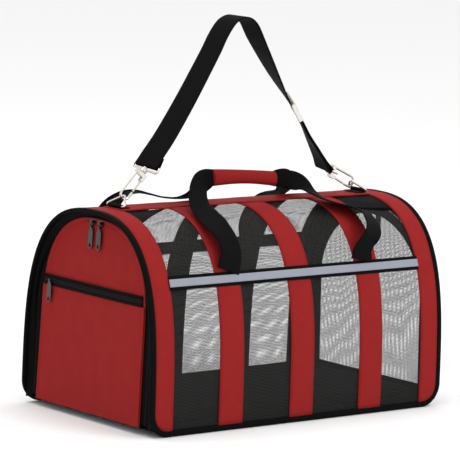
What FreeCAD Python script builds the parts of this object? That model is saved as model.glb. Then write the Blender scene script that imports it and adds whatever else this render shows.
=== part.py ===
import FreeCAD, Part
import math
import os
import Sketcher
from FreeCAD import Placement, Rotation, Vector

# Soft-sided pet carrier: a tunnel of mesh held by bound rims, red bands and ribs, with a zipped
# door at each end, two webbing handles in a padded grip, and a shoulder strap on snap hooks.
# X runs along the body (left door at -X), Y across it (front at -Y), Z up. The origin lies on the
# ground under the body's middle.

doc = FreeCAD.newDocument("PetCarrier")

DIMENSIONS = [
    ("body_length", 480, "overall length of the tunnel along X"),
    ("body_width", 274, "overall width across the feet of the arch"),
    ("body_height", 268, "height of the arch over the ground"),
    ("height_power", 3.59, "roundness of the arch, vertical exponent"),
    ("width_power", 2.54, "roundness of the arch, horizontal exponent"),
    ("corner_radius", 30, "rounding of the side wall's lower corners"),
    ("binding_width", 8, "width of the edge binding seen from the side"),
    ("binding_depth", 5, "thickness of the edge binding across the wall"),
    ("end_band_width", 28, "width of the red band beside each rim"),
    ("rib_width", 38, "width of each red rib strap"),
    ("rib_pitch", 115, "distance between rib straps"),
    ("rib_offset", 3, "shift of the middle rib from the middle of the body"),
    ("spine_width", 40, "width of the strip along the ridge"),
    ("cloth_thickness", 1.4, "thickness of a band, rib or backing strip"),
    ("mesh_thickness", 0.8, "thickness of the netting"),
    ("strip_height", 189.5, "height of the reflective strip's middle"),
    ("backing_width", 17, "width of the strip's backing webbing"),
    ("tape_width", 9, "width of the reflective tape"),
    ("board_length", 456, "length of the stiff base board"),
    ("board_width", 250, "width of the stiff base board"),
    ("board_thickness", 3, "thickness of the stiff base board"),
    ("mat_length", 450, "length of the padded floor mat"),
    ("mat_width", 244, "width of the padded floor mat"),
    ("mat_thickness", 8, "thickness of the padded floor mat"),
    ("door_hinge_reach", 233, "distance of a door's bottom seam from the middle"),
    ("door_hinge_height", 9, "height of a door's bottom seam"),
    ("door_lean", 1.5, "inward lean of a closed door, degrees"),
    ("track_radius", 116, "radius of the round top of a door's zip"),
    ("track_spring", 126.5, "height over the seam where the zip's straight sides end"),
    ("panel_inset", 10, "distance of the door cloth from the zip at the sides"),
    ("pocket_zip_height", 157, "height of the pocket zip over the door's seam"),
    ("zip_tape_width", 13, "width of the pocket's zip tapes together"),
    ("pull_length", 29, "length of a zip pull tab"),
    ("pull_width", 9, "width of a zip pull tab at its free end"),
    ("pull_thickness", 1.4, "thickness of a zip pull tab"),
    ("webbing_width", 38, "width of the handle and shoulder webbing"),
    ("webbing_thickness", 2, "thickness of the handle and shoulder webbing"),
    ("grip_length", 106, "length of the padded grip"),
    ("grip_height", 26, "height of the padded grip's section"),
    ("grip_width", 20, "width of the padded grip's section"),
    ("grip_wall", 3, "thickness of the padded grip's wrap"),
    ("grip_level", 296, "height of the grip's axis"),
    ("grip_shift", 4, "shift of the grip from the middle of the body"),
    ("ring_reach", 202, "distance of a D-ring's bar from the middle"),
    ("ring_level", 271.4, "height of a D-ring's bar"),
    ("ring_tilt", 40, "slope of a D-ring, degrees over the horizontal"),
    ("ring_wire", 2.8, "wire diameter of a D-ring"),
    ("ring_width", 40, "width of a D-ring between wire centres"),
    ("ring_rise", 18, "height of a D-ring between wire centres"),
    ("hook_wire", 3.2, "wire diameter of a snap hook"),
    ("hook_bowl", 7, "radius of a snap hook's bowl at the wire's centre"),
    ("hook_reach", 34, "distance from the bowl's centre to the hook's base"),
    ("left_hook_slope", 45.5, "slope of the left hook, degrees over the horizontal"),
    ("right_hook_slope", 25, "slope of the right hook, degrees over the horizontal"),
    ("loop_wire", 3, "wire diameter of a swivel's webbing loop"),
    ("strap_top", 506, "height of the shoulder strap's webbing at its top"),
    ("strap_bend", 30.8, "bend radius at the shoulder strap's top"),
    ("left_twist", -10, "twist of the strap at the left loop, degrees"),
    ("right_twist", -29, "twist of the strap's right leg, degrees"),
    ("right_loop_twist", -10, "twist of the strap at the right loop, degrees"),
    ("door_border", 7, "width of the cloth border round the net door"),
    ("lower_loop_length", 92, "length of the doubled webbing at the right hook"),
    ("hoop_width", 6, "width of the flat spring hoops"),
    ("hoop_thickness", 1.2, "thickness of the flat spring hoops"),
]

sheet = doc.addObject("Spreadsheet::Sheet", "Dimensions")
for row, (alias, value, meaning) in enumerate(DIMENSIONS, start=1):
    sheet.set(f"A{row}", meaning)
    sheet.set(f"B{row}", str(value))
    sheet.setAlias(f"B{row}", alias)
doc.recompute()

nodes = []


def dim(alias):
    """The value of one driving dimension."""
    return float(sheet.get(alias))


def add_feature(label, shape, placement=Placement()):
    """Adds a sub-part whose shape is set by code."""
    feature = doc.addObject("Part::Feature", label)
    feature.Shape = shape
    feature.Placement = placement.multiply(shape.Placement)
    feature.Label = label
    nodes.append(feature)
    return feature


# ---------------------------------------------------------------- basic shapes

def tube_solid(rings):
    """A closed solid of flat triangles through matching rings of points.

    Opposite sides are split along the same diagonal, so a thin twisted strip's two faces
    stay parallel and can't pass through each other.
    """
    faces = []

    def triangle(*points):
        faces.append(Part.Face(Part.makePolygon([*points, points[0]])))

    for before, after in zip(rings, rings[1:]):
        for index in range(len(before)):
            following = (index + 1) % len(before)
            if index < len(before) / 2:
                triangle(before[index], before[following], after[following])
                triangle(before[index], after[following], after[index])
            else:
                triangle(before[index], before[following], after[index])
                triangle(before[following], after[following], after[index])
    for ring in (rings[0], rings[-1]):
        for index in range(1, len(ring) - 1):
            triangle(ring[0], ring[index], ring[index + 1])
    shell = Part.makeShell(faces)
    shell.sewShape()
    solid = Part.makeSolid(shell)
    if solid.Volume < 0:
        solid.reverse()
    return solid


def ribbon(stations, thickness):
    """A flat strap through stations of (centre, width vector)."""
    rings = []
    for index, (centre, width) in enumerate(stations):
        before = stations[max(index - 1, 0)][0]
        after = stations[min(index + 1, len(stations) - 1)][0]
        side = width * 0.5
        depth = (after - before).cross(width)
        depth.multiply(thickness / 2 / depth.Length)
        rings.append([centre + side + depth, centre - side + depth,
                      centre - side - depth, centre + side - depth])
    return tube_solid(rings)


def rod(edges, radius):
    """A round wire that follows a path of tangent lines and arcs."""
    path = Part.Wire(edges)
    start = edges[0].valueAt(edges[0].FirstParameter)
    tangent = edges[0].tangentAt(edges[0].FirstParameter)
    circle = Part.Wire(Part.makeCircle(radius, start, tangent))
    return path.makePipeShell([circle], True, False)


def line(start, end):
    return Part.LineSegment(start, end).toShape()


def arc(start, middle, end):
    return Part.Arc(start, middle, end).toShape()


def box(low, high):
    """A box between two corners."""
    size = high - low
    return Part.makeBox(size.x, size.y, size.z, low)


def rounded_rectangle(half_width, half_height, radius):
    """Closed edges of a rounded rectangle in the local YZ plane, for wires and cut-outs."""
    edges = []
    diagonal = radius * (1 - math.sqrt(0.5))
    flat_y = half_width - radius
    flat_z = half_height - radius
    for sign_y, sign_z in ((1, 1), (-1, 1), (-1, -1), (1, -1)):
        corner = Vector(0, sign_y * half_width, sign_z * half_height)
        inward = Vector(0, -sign_y * diagonal, -sign_z * diagonal)
        on_side = Vector(0, sign_y * half_width, sign_z * flat_z)
        on_end = Vector(0, sign_y * flat_y, sign_z * half_height)
        first, last = (on_side, on_end) if sign_y == sign_z else (on_end, on_side)
        edges.append(arc(first, corner + inward, last))
        if sign_y == sign_z:
            edges.append(line(last, Vector(0, -sign_y * flat_y, sign_z * half_height)))
        else:
            edges.append(line(last, Vector(0, sign_y * half_width, -sign_z * flat_z)))
    return edges


# ---------------------------------------------------------------- the tunnel's arch

HALF_WIDTH = dim("body_width") / 2
HEIGHT = dim("body_height")
HALF_LENGTH = dim("body_length") / 2
CLOTH = dim("cloth_thickness")
MESH = dim("mesh_thickness")
BINDING = dim("binding_width")
LAYER_GAP = 0.2


def arch_point(angle, inward):
    """Point (y, z) on the arch: a superellipse, moved inward along its normal.

    The angle runs from 0 at the front foot over the ridge to pi at the back foot.
    """
    cosine = math.cos(angle)
    sine = max(math.sin(angle), 0.0)
    y = -math.copysign(HALF_WIDTH * abs(cosine) ** (2 / dim("width_power")), cosine)
    z = HEIGHT * sine ** (2 / dim("height_power"))
    slope_y = math.copysign((abs(y) / HALF_WIDTH) ** (dim("width_power") - 1), y)
    slope_y *= dim("width_power") / HALF_WIDTH
    slope_z = dim("height_power") / HEIGHT * (z / HEIGHT) ** (dim("height_power") - 1)
    length = math.hypot(slope_y, slope_z)
    return y - inward * slope_y / length, z - inward * slope_z / length


def angle_at_height(z):
    """Arch angle of the front wall at a height."""
    return math.asin((z / HEIGHT) ** (dim("height_power") / 2))


def angle_at_width(y):
    """Arch angle of the front roof at a distance from the ridge."""
    return math.acos((y / HALF_WIDTH) ** (dim("width_power") / 2))


def arch_sheet(x_low, x_high, outer, inner, start, end, count=26):
    """A sheet that follows the arch between two angles, from outer to inner depth."""
    curves = []
    for depth in (outer, inner):
        points = []
        for step in range(count + 1):
            angle = start + (end - start) * step / count
            points.append(Vector(x_low, *arch_point(angle, depth)))
        curve = Part.BSplineCurve()
        curve.interpolate(points)
        curves.append((curve.toShape(), points))
    (outer_edge, outer_points), (inner_edge, inner_points) = curves
    outline = Part.Wire([outer_edge, line(outer_points[-1], inner_points[-1]),
                         inner_edge, line(inner_points[0], outer_points[0])])
    return Part.Face(outline).extrude(Vector(x_high - x_low, 0, 0))


def side_window(inset):
    """A prism through the body with the side wall's rounded lower corners, inset evenly."""
    half = HALF_LENGTH - inset
    radius = dim("corner_radius") - inset
    block = box(Vector(-half, -200, inset), Vector(half, 200, 320))
    lower = [edge for edge in block.Edges
             if abs(edge.CenterOfMass.z - inset) < 0.01 and abs(edge.CenterOfMass.y) < 0.01
             and abs(abs(edge.CenterOfMass.x) - half) < 0.01]
    return block.makeFillet(radius, lower)


# ---------------------------------------------------------------- tunnel wall

window = side_window(BINDING)
frame_prism = side_window(0).cut(window)
frame_prism = frame_prism.cut(box(Vector(-HALF_LENGTH + BINDING, -200, 200),
                                  Vector(HALF_LENGTH - BINDING, 200, 330)))
wall_sheet = arch_sheet(-HALF_LENGTH, HALF_LENGTH, 0, dim("binding_depth"), 0, math.pi)
binding = wall_sheet.common(frame_prism)

split = HALF_LENGTH - dim("corner_radius")
for label, low, high in (("left_rim_binding", -260, -split), ("right_rim_binding", split, 260)):
    slab = box(Vector(low, -200, -10), Vector(high, 200, 300))
    add_feature(label, binding.common(slab))
add_feature("bottom_bindings", binding.common(box(Vector(-split, -200, -10), Vector(split, 200, 50))))

band_inner = HALF_LENGTH - BINDING - dim("end_band_width")
foot = angle_at_height(BINDING)
for label, sign in (("left_end_band", -1), ("right_end_band", 1)):
    low, high = sorted((sign * band_inner, sign * HALF_LENGTH))
    band = arch_sheet(low, high, 1, 1 + CLOTH, 0, math.pi)
    add_feature(label, band.common(window))

mesh_outer = 1 + CLOTH + LAYER_GAP
ridge_angle = angle_at_width(8)
for label, start, end in (("front_mesh_wall", 0, ridge_angle),
                          ("back_mesh_wall", math.pi - ridge_angle, math.pi)):
    mesh = arch_sheet(-HALF_LENGTH, HALF_LENGTH, mesh_outer, mesh_outer + MESH, start, end, 14)
    add_feature(label, mesh.common(window))

for index in (-1, 0, 1):
    middle = dim("rib_offset") + index * dim("rib_pitch")
    rib = arch_sheet(middle - dim("rib_width") / 2, middle + dim("rib_width") / 2,
                     1, 1 + CLOTH, foot, math.pi - foot)
    add_feature(f"rib_strap_{index + 2}", rib)

spine_angle = angle_at_width(dim("spine_width") / 2)
spine_top = 1 - LAYER_GAP - CLOTH
add_feature("top_spine", arch_sheet(-band_inner, band_inner, spine_top, spine_top + CLOTH,
                                    spine_angle, math.pi - spine_angle, 8))

# Plain cloth corners beside the spine, in the end bays: a small triangle at the left end and a
# four-sided piece at the right end, the same on the front and the back of the roof.
rib_edge = dim("rib_offset") + dim("rib_pitch") + dim("rib_width") / 2
spine_side = dim("spine_width") / 2 + 1
band_side = band_inner - 1
corner_outlines = [
    [(-band_side, spine_side), (-rib_edge, spine_side), (-band_side, 60)],
    [(rib_edge + 1, spine_side), (band_side, spine_side), (band_side, 68), (rib_edge + 1, 58)],
]
roof_start = angle_at_width(80)
corner_shapes = []
for outline in corner_outlines:
    for side in (-1, 1):
        corners = [Vector(x, side * y, 150) for x, y in outline]
        prism = Part.Face(Part.makePolygon(corners + corners[:1])).extrude(Vector(0, 0, 150))
        start, end = (roof_start, math.pi / 2) if side < 0 else (math.pi / 2, math.pi - roof_start)
        low, high = sorted((outline[0][0], outline[1][0]))
        sheet_shape = arch_sheet(low - 2, high + 2, 1.2, 1 + CLOTH, start, end, 10)
        corner_shapes.append(sheet_shape.common(prism))
add_feature("top_corner_panels", Part.makeCompound(corner_shapes))


def strip_angles(width):
    """Arch angles of a strip centred on the reflective strip's height."""
    low = angle_at_height(dim("strip_height") - width / 2)
    high = angle_at_height(dim("strip_height") + width / 2)
    return low, high


for side in ("front", "back"):
    for name, width, depth in (("strip_backing", dim("backing_width"), spine_top),
                               ("reflective_tape", dim("tape_width"), spine_top - 0.5)):
        start, end = strip_angles(width)
        if side == "back":
            start, end = math.pi - end, math.pi - start
        thickness = CLOTH if name == "strip_backing" else 0.4
        add_feature(f"{side}_{name}", arch_sheet(-band_inner, band_inner, depth,
                                                 depth + thickness, start, end, 4))

# Flat spring hoops stand behind the end bands and keep the arch open.
for label, sign in (("left_hoop_spring", -1), ("right_hoop_spring", 1)):
    hoop_x = sign * (HALF_LENGTH - BINDING - 16)
    depth = mesh_outer + MESH + 0.4
    hoop_foot = angle_at_height(12)
    add_feature(label, arch_sheet(hoop_x - dim("hoop_width") / 2, hoop_x + dim("hoop_width") / 2,
                                  depth, depth + dim("hoop_thickness"),
                                  hoop_foot, math.pi - hoop_foot))


# ---------------------------------------------------------------- floor

def rectangle_pad(label, length, width, thickness, level):
    """A PartDesign plate centred on the origin; its sizes are expressions of the sheet."""
    body = doc.addObject("PartDesign::Body", label)
    body.Label = label
    sketch = body.newObject("Sketcher::SketchObject", f"{label}_outline")
    plane = [item for item in body.Origin.OriginFeatures if item.Role == "XY_Plane"][0]
    sketch.AttachmentSupport = (plane, [""])
    sketch.MapMode = "FlatFace"
    corners = [Vector(-1, -1, 0), Vector(1, -1, 0), Vector(1, 1, 0), Vector(-1, 1, 0)]
    for index in range(4):
        sketch.addGeometry(Part.LineSegment(corners[index] * 50, corners[(index + 1) % 4] * 50))
    for index in range(4):
        sketch.addConstraint(Sketcher.Constraint("Coincident", index, 2, (index + 1) % 4, 1))
    sketch.addConstraint(Sketcher.Constraint("Horizontal", 0))
    sketch.addConstraint(Sketcher.Constraint("Horizontal", 2))
    sketch.addConstraint(Sketcher.Constraint("Vertical", 1))
    sketch.addConstraint(Sketcher.Constraint("Vertical", 3))
    sketch.addConstraint(Sketcher.Constraint("Symmetric", 0, 1, 1, 2, -1, 1))
    across = sketch.addConstraint(Sketcher.Constraint("DistanceX", 0, 1, 0, 2, 100))
    along = sketch.addConstraint(Sketcher.Constraint("DistanceY", 1, 1, 1, 2, 100))
    sketch.renameConstraint(across, "Length")
    sketch.renameConstraint(along, "Width")
    sketch.setExpression("Constraints.Length", length)
    sketch.setExpression("Constraints.Width", width)
    sketch.setExpression(".AttachmentOffset.Base.z", level)
    pad = body.newObject("PartDesign::Pad", f"{label}_pad")
    pad.Profile = sketch
    pad.setExpression("Length", thickness)
    doc.recompute()
    nodes.append(body)
    return body, pad


def round_uprights(body, pad, label, radius):
    """Rounds a plate's four upright edges."""
    names = [f"Edge{number}" for number, edge in enumerate(pad.Shape.Edges, start=1)
             if abs(edge.tangentAt(edge.FirstParameter).z) > 0.9]
    fillet = body.newObject("PartDesign::Fillet", f"{label}_corners")
    fillet.Base = (pad, names)
    fillet.Radius = radius
    doc.recompute()


base_body, base_pad = rectangle_pad("base_board", "Dimensions.board_length",
                                    "Dimensions.board_width",
                                    "Dimensions.board_thickness", "9.1")
round_uprights(base_body, base_pad, "base_board", 8)
mat_body, mat_pad = rectangle_pad("floor_mat", "Dimensions.mat_length", "Dimensions.mat_width",
                                  "Dimensions.mat_thickness",
                                  "9.4 + Dimensions.board_thickness")
round_uprights(mat_body, mat_pad, "floor_mat", 10)
bottom_body, bottom_pad = rectangle_pad("bottom_panel",
                                        "2 * Dimensions.door_hinge_reach - 6",
                                        "Dimensions.body_width - 2 * Dimensions.binding_depth - 1",
                                        "Dimensions.cloth_thickness", "7.4")
round_uprights(bottom_body, bottom_pad, "bottom_panel", 6)


# ---------------------------------------------------------------- doors
# Door parts are drawn in the door's own frame: hinge seam on the local Y axis, leaf along local
# +Z, outside towards local -X. The right door is the same leaf turned half a turn about Z.

TRACK = dim("track_radius")
SPRING = dim("track_spring")
COIL_HALF_GAP = 0.7
COIL_WIDTH = 2.6
COIL_HALF_THICKNESS = 0.9
TAPE_HALF_THICKNESS = 0.4


def door_placement(side):
    """Where a closed door's frame stands; side is -1 for the left door, 1 for the right."""
    lean = Placement(Vector(), Rotation(Vector(0, 1, 0), dim("door_lean")))
    turn = Rotation(Vector(0, 0, 1), 0 if side < 0 else 180)
    seam = Vector(side * dim("door_hinge_reach"), 0, dim("door_hinge_height"))
    return Placement(seam, turn) * lean


def leaf_face(half_width, top, foot_level):
    """A flat face in the local YZ plane: straight sides and a round or tall elliptic top."""
    rise = top - SPRING
    if abs(rise - half_width) < 0.01:
        crown = arc(Vector(0, half_width, SPRING), Vector(0, 0, top), Vector(0, -half_width, SPRING))
    else:
        ellipse = Part.Ellipse(Vector(0, 0, top), Vector(0, half_width, SPRING),
                               Vector(0, 0, SPRING))
        crown = Part.ArcOfEllipse(ellipse, -math.pi / 2, math.pi / 2).toShape()
    edges = [crown,
             line(Vector(0, -half_width, SPRING), Vector(0, -half_width, foot_level)),
             line(Vector(0, -half_width, foot_level), Vector(0, half_width, foot_level)),
             line(Vector(0, half_width, foot_level), Vector(0, half_width, SPRING))]
    return Part.Face(Part.Wire(Part.__sortEdges__(edges)))


def leaf(half_width, top, foot_level, x_low, x_high):
    """A slab with a door leaf's outline."""
    face = leaf_face(half_width, top, foot_level)
    face.translate(Vector(x_low, 0, 0))
    return face.extrude(Vector(x_high - x_low, 0, 0))


def track_band(inner, outer, foot_level, half_thickness):
    """A band that follows the zip track between two radii."""
    slab = leaf(outer, SPRING + outer, foot_level, -half_thickness, half_thickness)
    return slab.cut(leaf(inner, SPRING + inner, foot_level - 5, -5, 5))


PANEL_HALF = TRACK - dim("panel_inset")
PANEL_TOP = SPRING + TRACK - 4
DOOR_FOOT = 2.4
TAPE_FOOT = 4

for name, side in (("left", -1), ("right", 1)):
    place = door_placement(side)
    inner_band = track_band(PANEL_HALF - 4, TRACK - 1, TAPE_FOOT, TAPE_HALF_THICKNESS)
    inner_coil = track_band(TRACK - COIL_HALF_GAP - COIL_WIDTH, TRACK - COIL_HALF_GAP,
                            TAPE_FOOT, COIL_HALF_THICKNESS)
    add_feature(f"{name}_door_zip", inner_band.fuse(inner_coil).removeSplitter(), place)
    outer_band = track_band(TRACK + 1, TRACK + 6, TAPE_FOOT, TAPE_HALF_THICKNESS)
    outer_coil = track_band(TRACK + COIL_HALF_GAP, TRACK + COIL_HALF_GAP + COIL_WIDTH,
                            TAPE_FOOT, COIL_HALF_THICKNESS)
    add_feature(f"{name}_shell_zip", outer_band.fuse(outer_coil).removeSplitter(), place)

ZIP_LEVEL = dim("pocket_zip_height")
ZIP_HALF = dim("zip_tape_width") / 2
panel = leaf(PANEL_HALF, PANEL_TOP, DOOR_FOOT, -1.4, -0.5)
seam_roll = Part.makeCylinder(1.6, 2 * PANEL_HALF, Vector(-0.9, -PANEL_HALF, 1.4), Vector(0, 1, 0))
add_feature("left_door_panel", panel.fuse(seam_roll).removeSplitter(), door_placement(-1))

below_zip = box(Vector(-10, -200, 5), Vector(10, 200, ZIP_LEVEL - ZIP_HALF - 0.2))
pocket = leaf(PANEL_HALF - 2, PANEL_TOP, DOOR_FOOT, -2.5, -1.6)
add_feature("pocket_panel", pocket.common(below_zip), door_placement(-1))

tapes = box(Vector(-2.3, -PANEL_HALF + 3, ZIP_LEVEL - ZIP_HALF),
            Vector(-1.6, PANEL_HALF - 3, ZIP_LEVEL + ZIP_HALF))
coil_rows = box(Vector(-2.9, -PANEL_HALF + 3, ZIP_LEVEL - 2.5),
                Vector(-2.2, PANEL_HALF - 3, ZIP_LEVEL + 2.5))
add_feature("pocket_zip", tapes.fuse(coil_rows).removeSplitter(), door_placement(-1))

FRAME_BORDER = dim("door_border")
NET_SEAM = 2.6
frame_slab = leaf(PANEL_HALF, PANEL_TOP, DOOR_FOOT, -1.5, -0.5)
window_slab = leaf(PANEL_HALF - FRAME_BORDER, PANEL_TOP - FRAME_BORDER,
                   DOOR_FOOT + 2 * FRAME_BORDER, -5, 5)
frame_roll = seam_roll.copy()
add_feature("right_door_frame", frame_slab.cut(window_slab).fuse(frame_roll).removeSplitter(),
            door_placement(1))
netting = leaf(PANEL_HALF - FRAME_BORDER + NET_SEAM, PANEL_TOP - FRAME_BORDER + NET_SEAM,
               DOOR_FOOT + 2 * FRAME_BORDER - NET_SEAM, 0.5, 1.0)
add_feature("right_door_mesh", netting, door_placement(1))


GUSSET_TRACK = TRACK + 7.4


def gusset(side):
    """The folded sheet between a rim and the shell's half of the door zip."""
    place = door_placement(-1)
    stations = []
    count = 40
    low = angle_at_height(9.5)
    for step in range(count + 1):
        angle = low + (math.pi - 2 * low) * step / count
        y, z = arch_point(angle, dim("binding_depth") + 0.4)
        spring = SPRING + dim("door_hinge_height")
        if z > spring:
            reach = math.hypot(y, z - spring)
            local = Vector(0, y / reach * GUSSET_TRACK, SPRING + (z - spring) / reach * GUSSET_TRACK)
        else:
            local = Vector(0, math.copysign(GUSSET_TRACK, y), z - dim("door_hinge_height"))
        inner = place.multVec(local)
        outer = Vector(-HALF_LENGTH + 6, y, z)
        inward = Vector(0, -y, max(spring - z, -60)).normalize() * 1.0
        corners = [outer, outer + inward, inner + inward, inner]
        stations.append(Part.makePolygon(corners + corners[:1]))
    shape = Part.makeLoft(stations, True, True)
    if side > 0:
        shape.rotate(Vector(), Vector(0, 0, 1), 180)
    return shape


add_feature("left_gusset", gusset(-1))
add_feature("right_gusset", gusset(1))


# ---------------------------------------------------------------- zip sliders
# A slider is drawn at its own pivot: zip direction along local Y, outside towards local -X.

STUD_TIP = -6.0
LINK_LEVEL = -4.2
PIN_DROP = 5.2
PIN_X = -5.0
TAB_HOLE = 1.0


def slider_shape():
    """Outer shell, post between the coils, half back plate and the stud for the pull."""
    shell = box(Vector(-2.6, -5.5, -3.4), Vector(-1.4, 5.5, 3.4))
    post = box(Vector(-1.6, -4.5, -0.4), Vector(1.6, -3.3, 0.4))
    back = box(Vector(1.3, -4.5, -3.4), Vector(2.2, 4.5, 0.4))
    stud = Part.makeCylinder(1.1, 3.2, Vector(-5.7, 0, 0), Vector(1, 0, 0))
    head = Part.makeCylinder(1.9, 0.7, Vector(STUD_TIP - 0.2, 0, 0), Vector(1, 0, 0))
    return shell.fuse([post, back, stud, head]).removeSplitter()


def link_shape():
    """A wire eye on the stud, two wires down and the cross pin that holds the tab."""
    eye = Part.makeCylinder(2.1, 1.0, Vector(LINK_LEVEL - 0.5, 0, 0), Vector(1, 0, 0))
    eye = eye.cut(Part.makeCylinder(1.4, 3, Vector(LINK_LEVEL - 1.5, 0, 0), Vector(1, 0, 0)))
    legs = [box(Vector(PIN_X - 0.5, sign * 2.4 - 0.45, -PIN_DROP - 0.5),
                Vector(LINK_LEVEL + 0.5, sign * 2.4 + 0.45, 0.4)) for sign in (-1, 1)]
    bridge = [box(Vector(LINK_LEVEL - 0.5, min(sign * 1.6, sign * 2.6), -0.4),
                  Vector(LINK_LEVEL + 0.5, max(sign * 1.6, sign * 2.6), 0.4)) for sign in (-1, 1)]
    pin = Part.makeCylinder(0.6, 4.8, Vector(PIN_X, -2.4, -PIN_DROP), Vector(0, 1, 0))
    return eye.fuse(legs + bridge + [pin]).removeSplitter()


def tab_shape(eye_radius):
    """A flat pull tab hanging from a cross pin at its origin."""
    half = dim("pull_thickness") / 2
    top_half = 1.7
    low_half = dim("pull_width") / 2
    length = dim("pull_length")
    low = length - low_half
    neck = -1.8
    outline = [line(Vector(0, top_half, 1.8), Vector(0, -top_half, 1.8)),
               line(Vector(0, -top_half, 1.8), Vector(0, -top_half, neck)),
               line(Vector(0, -top_half, neck), Vector(0, -low_half, -6)),
               line(Vector(0, -low_half, -6), Vector(0, -low_half, -low)),
               arc(Vector(0, -low_half, -low), Vector(0, 0, -length), Vector(0, low_half, -low)),
               line(Vector(0, low_half, -low), Vector(0, low_half, -6)),
               line(Vector(0, low_half, -6), Vector(0, top_half, neck)),
               line(Vector(0, top_half, neck), Vector(0, top_half, 1.8))]
    plate = Part.Face(Part.Wire(outline)).extrude(Vector(2 * half, 0, 0))
    plate.translate(Vector(-half, 0, 0))
    barrel = Part.makeCylinder(1.75, 2 * top_half, Vector(0, -top_half, 0), Vector(0, 1, 0))
    pin_hole = Part.makeCylinder(eye_radius, 12, Vector(0, -6, 0), Vector(0, 1, 0))
    hole = Part.makeCylinder(2.6, 6, Vector(-3, 0, -low), Vector(1, 0, 0))
    return plate.fuse(barrel).cut(pin_hole).cut(hole)


SLIDER_SPREAD = 4.2


def slider_placement(side, turn):
    """A slider's place on a door's round zip, turned from the top of the arch."""
    centre = Vector(0, 0, SPRING)
    ring = Placement(centre, Rotation(Vector(1, 0, 0), turn))
    return door_placement(side) * ring * Placement(Vector(0, 0, TRACK), Rotation())


for suffix, turn in (("a", -SLIDER_SPREAD), ("b", SLIDER_SPREAD)):
    for name, side in (("left", -1), ("right", 1)):
        at_slider = slider_placement(side, turn)
        flipped = slider_shape()
        if turn < 0:
            flipped = flipped.mirror(Vector(), Vector(0, 1, 0))
        add_feature(f"{name}_zip_slider_{suffix}", flipped, at_slider)
        hang = at_slider * Placement(Vector(), Rotation(Vector(1, 0, 0), -turn))
        at_pin = hang * Placement(Vector(PIN_X, 0, -PIN_DROP), Rotation())
        if name == "left":
            add_feature(f"left_zip_link_{suffix}", link_shape(), hang)
            add_feature(f"left_pull_tab_{suffix}", tab_shape(TAB_HOLE), at_pin)
        else:
            tab = tab_shape(0.4)
            tab.translate(Vector(PIN_X, 0, -PIN_DROP))
            add_feature(f"right_zip_pull_{suffix}", link_shape().fuse(tab).removeSplitter(), hang)

POCKET_SLIDER_Y = PANEL_HALF - 18
pocket_shell = box(Vector(-4.1, -5.5, -3.4), Vector(-3.2, 5.5, 3.4))
pocket_lugs = [box(Vector(-7.2, sign * 2.6 - 0.5, -1.2), Vector(-4.2, sign * 2.6 + 0.5, 1.2))
               for sign in (-1, 1)]
pocket_pin = Part.makeCylinder(0.6, 5.2, Vector(-6.6, -2.6, 0), Vector(0, 1, 0))
pocket_slider = pocket_shell.fuse(pocket_lugs + [pocket_pin]).removeSplitter()
pocket_place = door_placement(-1) * Placement(Vector(0, POCKET_SLIDER_Y, ZIP_LEVEL), Rotation())
add_feature("pocket_zip_slider", pocket_slider, pocket_place)
add_feature("pocket_pull_tab", tab_shape(TAB_HOLE),
            pocket_place * Placement(Vector(-6.6, 0, 0), Rotation()))


# ---------------------------------------------------------------- handles and grip
# Each handle has a steep leg and a looping leg; the back handle is the front one turned half a
# turn about the upright through the middle rib.

WEB = dim("webbing_width")
WEB_THICK = dim("webbing_thickness")
PIVOT_X = dim("rib_offset")
RIB_1 = PIVOT_X - dim("rib_pitch")
RIB_3 = PIVOT_X + dim("rib_pitch")
GRIP_X = dim("grip_shift")
GRIP_Z = dim("grip_level")
GRIP_HALF = dim("grip_length") / 2

steep_leg = [
    (Vector(RIB_1, -118.8, 201), Vector(1, 0, 0) * WEB),
    (Vector(RIB_1 + 3, -123, 216), Vector(1, 0.02, -0.04) * WEB),
    (Vector(RIB_1 + 5, -122, 230), Vector(0.99, 0.12, 0) * WEB),
    (Vector(RIB_1 + 4, -109, 247), Vector(0.97, 0.18, 0.12) * WEB),
    (Vector(RIB_1 + 4, -84, 261), Vector(0.94, 0.24, 0.22) * WEB),
    (Vector(RIB_1 + 8, -58, 270), Vector(0.9, 0.36, 0.2) * 37),
    (Vector(RIB_1 + 13, -39, 279), Vector(0.89, 0.43, 0.05) * 36),
    (Vector(RIB_1 + 23, -23, 289), Vector(0.9, 0.3, -0.25) * 33),
    (Vector(RIB_1 + 36, -11, 297), Vector(0.7, 0.05, -0.7) * 28),
    (Vector(RIB_1 + 50, -5, 300), Vector(0.3, -0.1, -0.95) * 23),
    (Vector(GRIP_X - GRIP_HALF - 1, -3.4, GRIP_Z), Vector(0, 0, -1) * 19),
]
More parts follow.
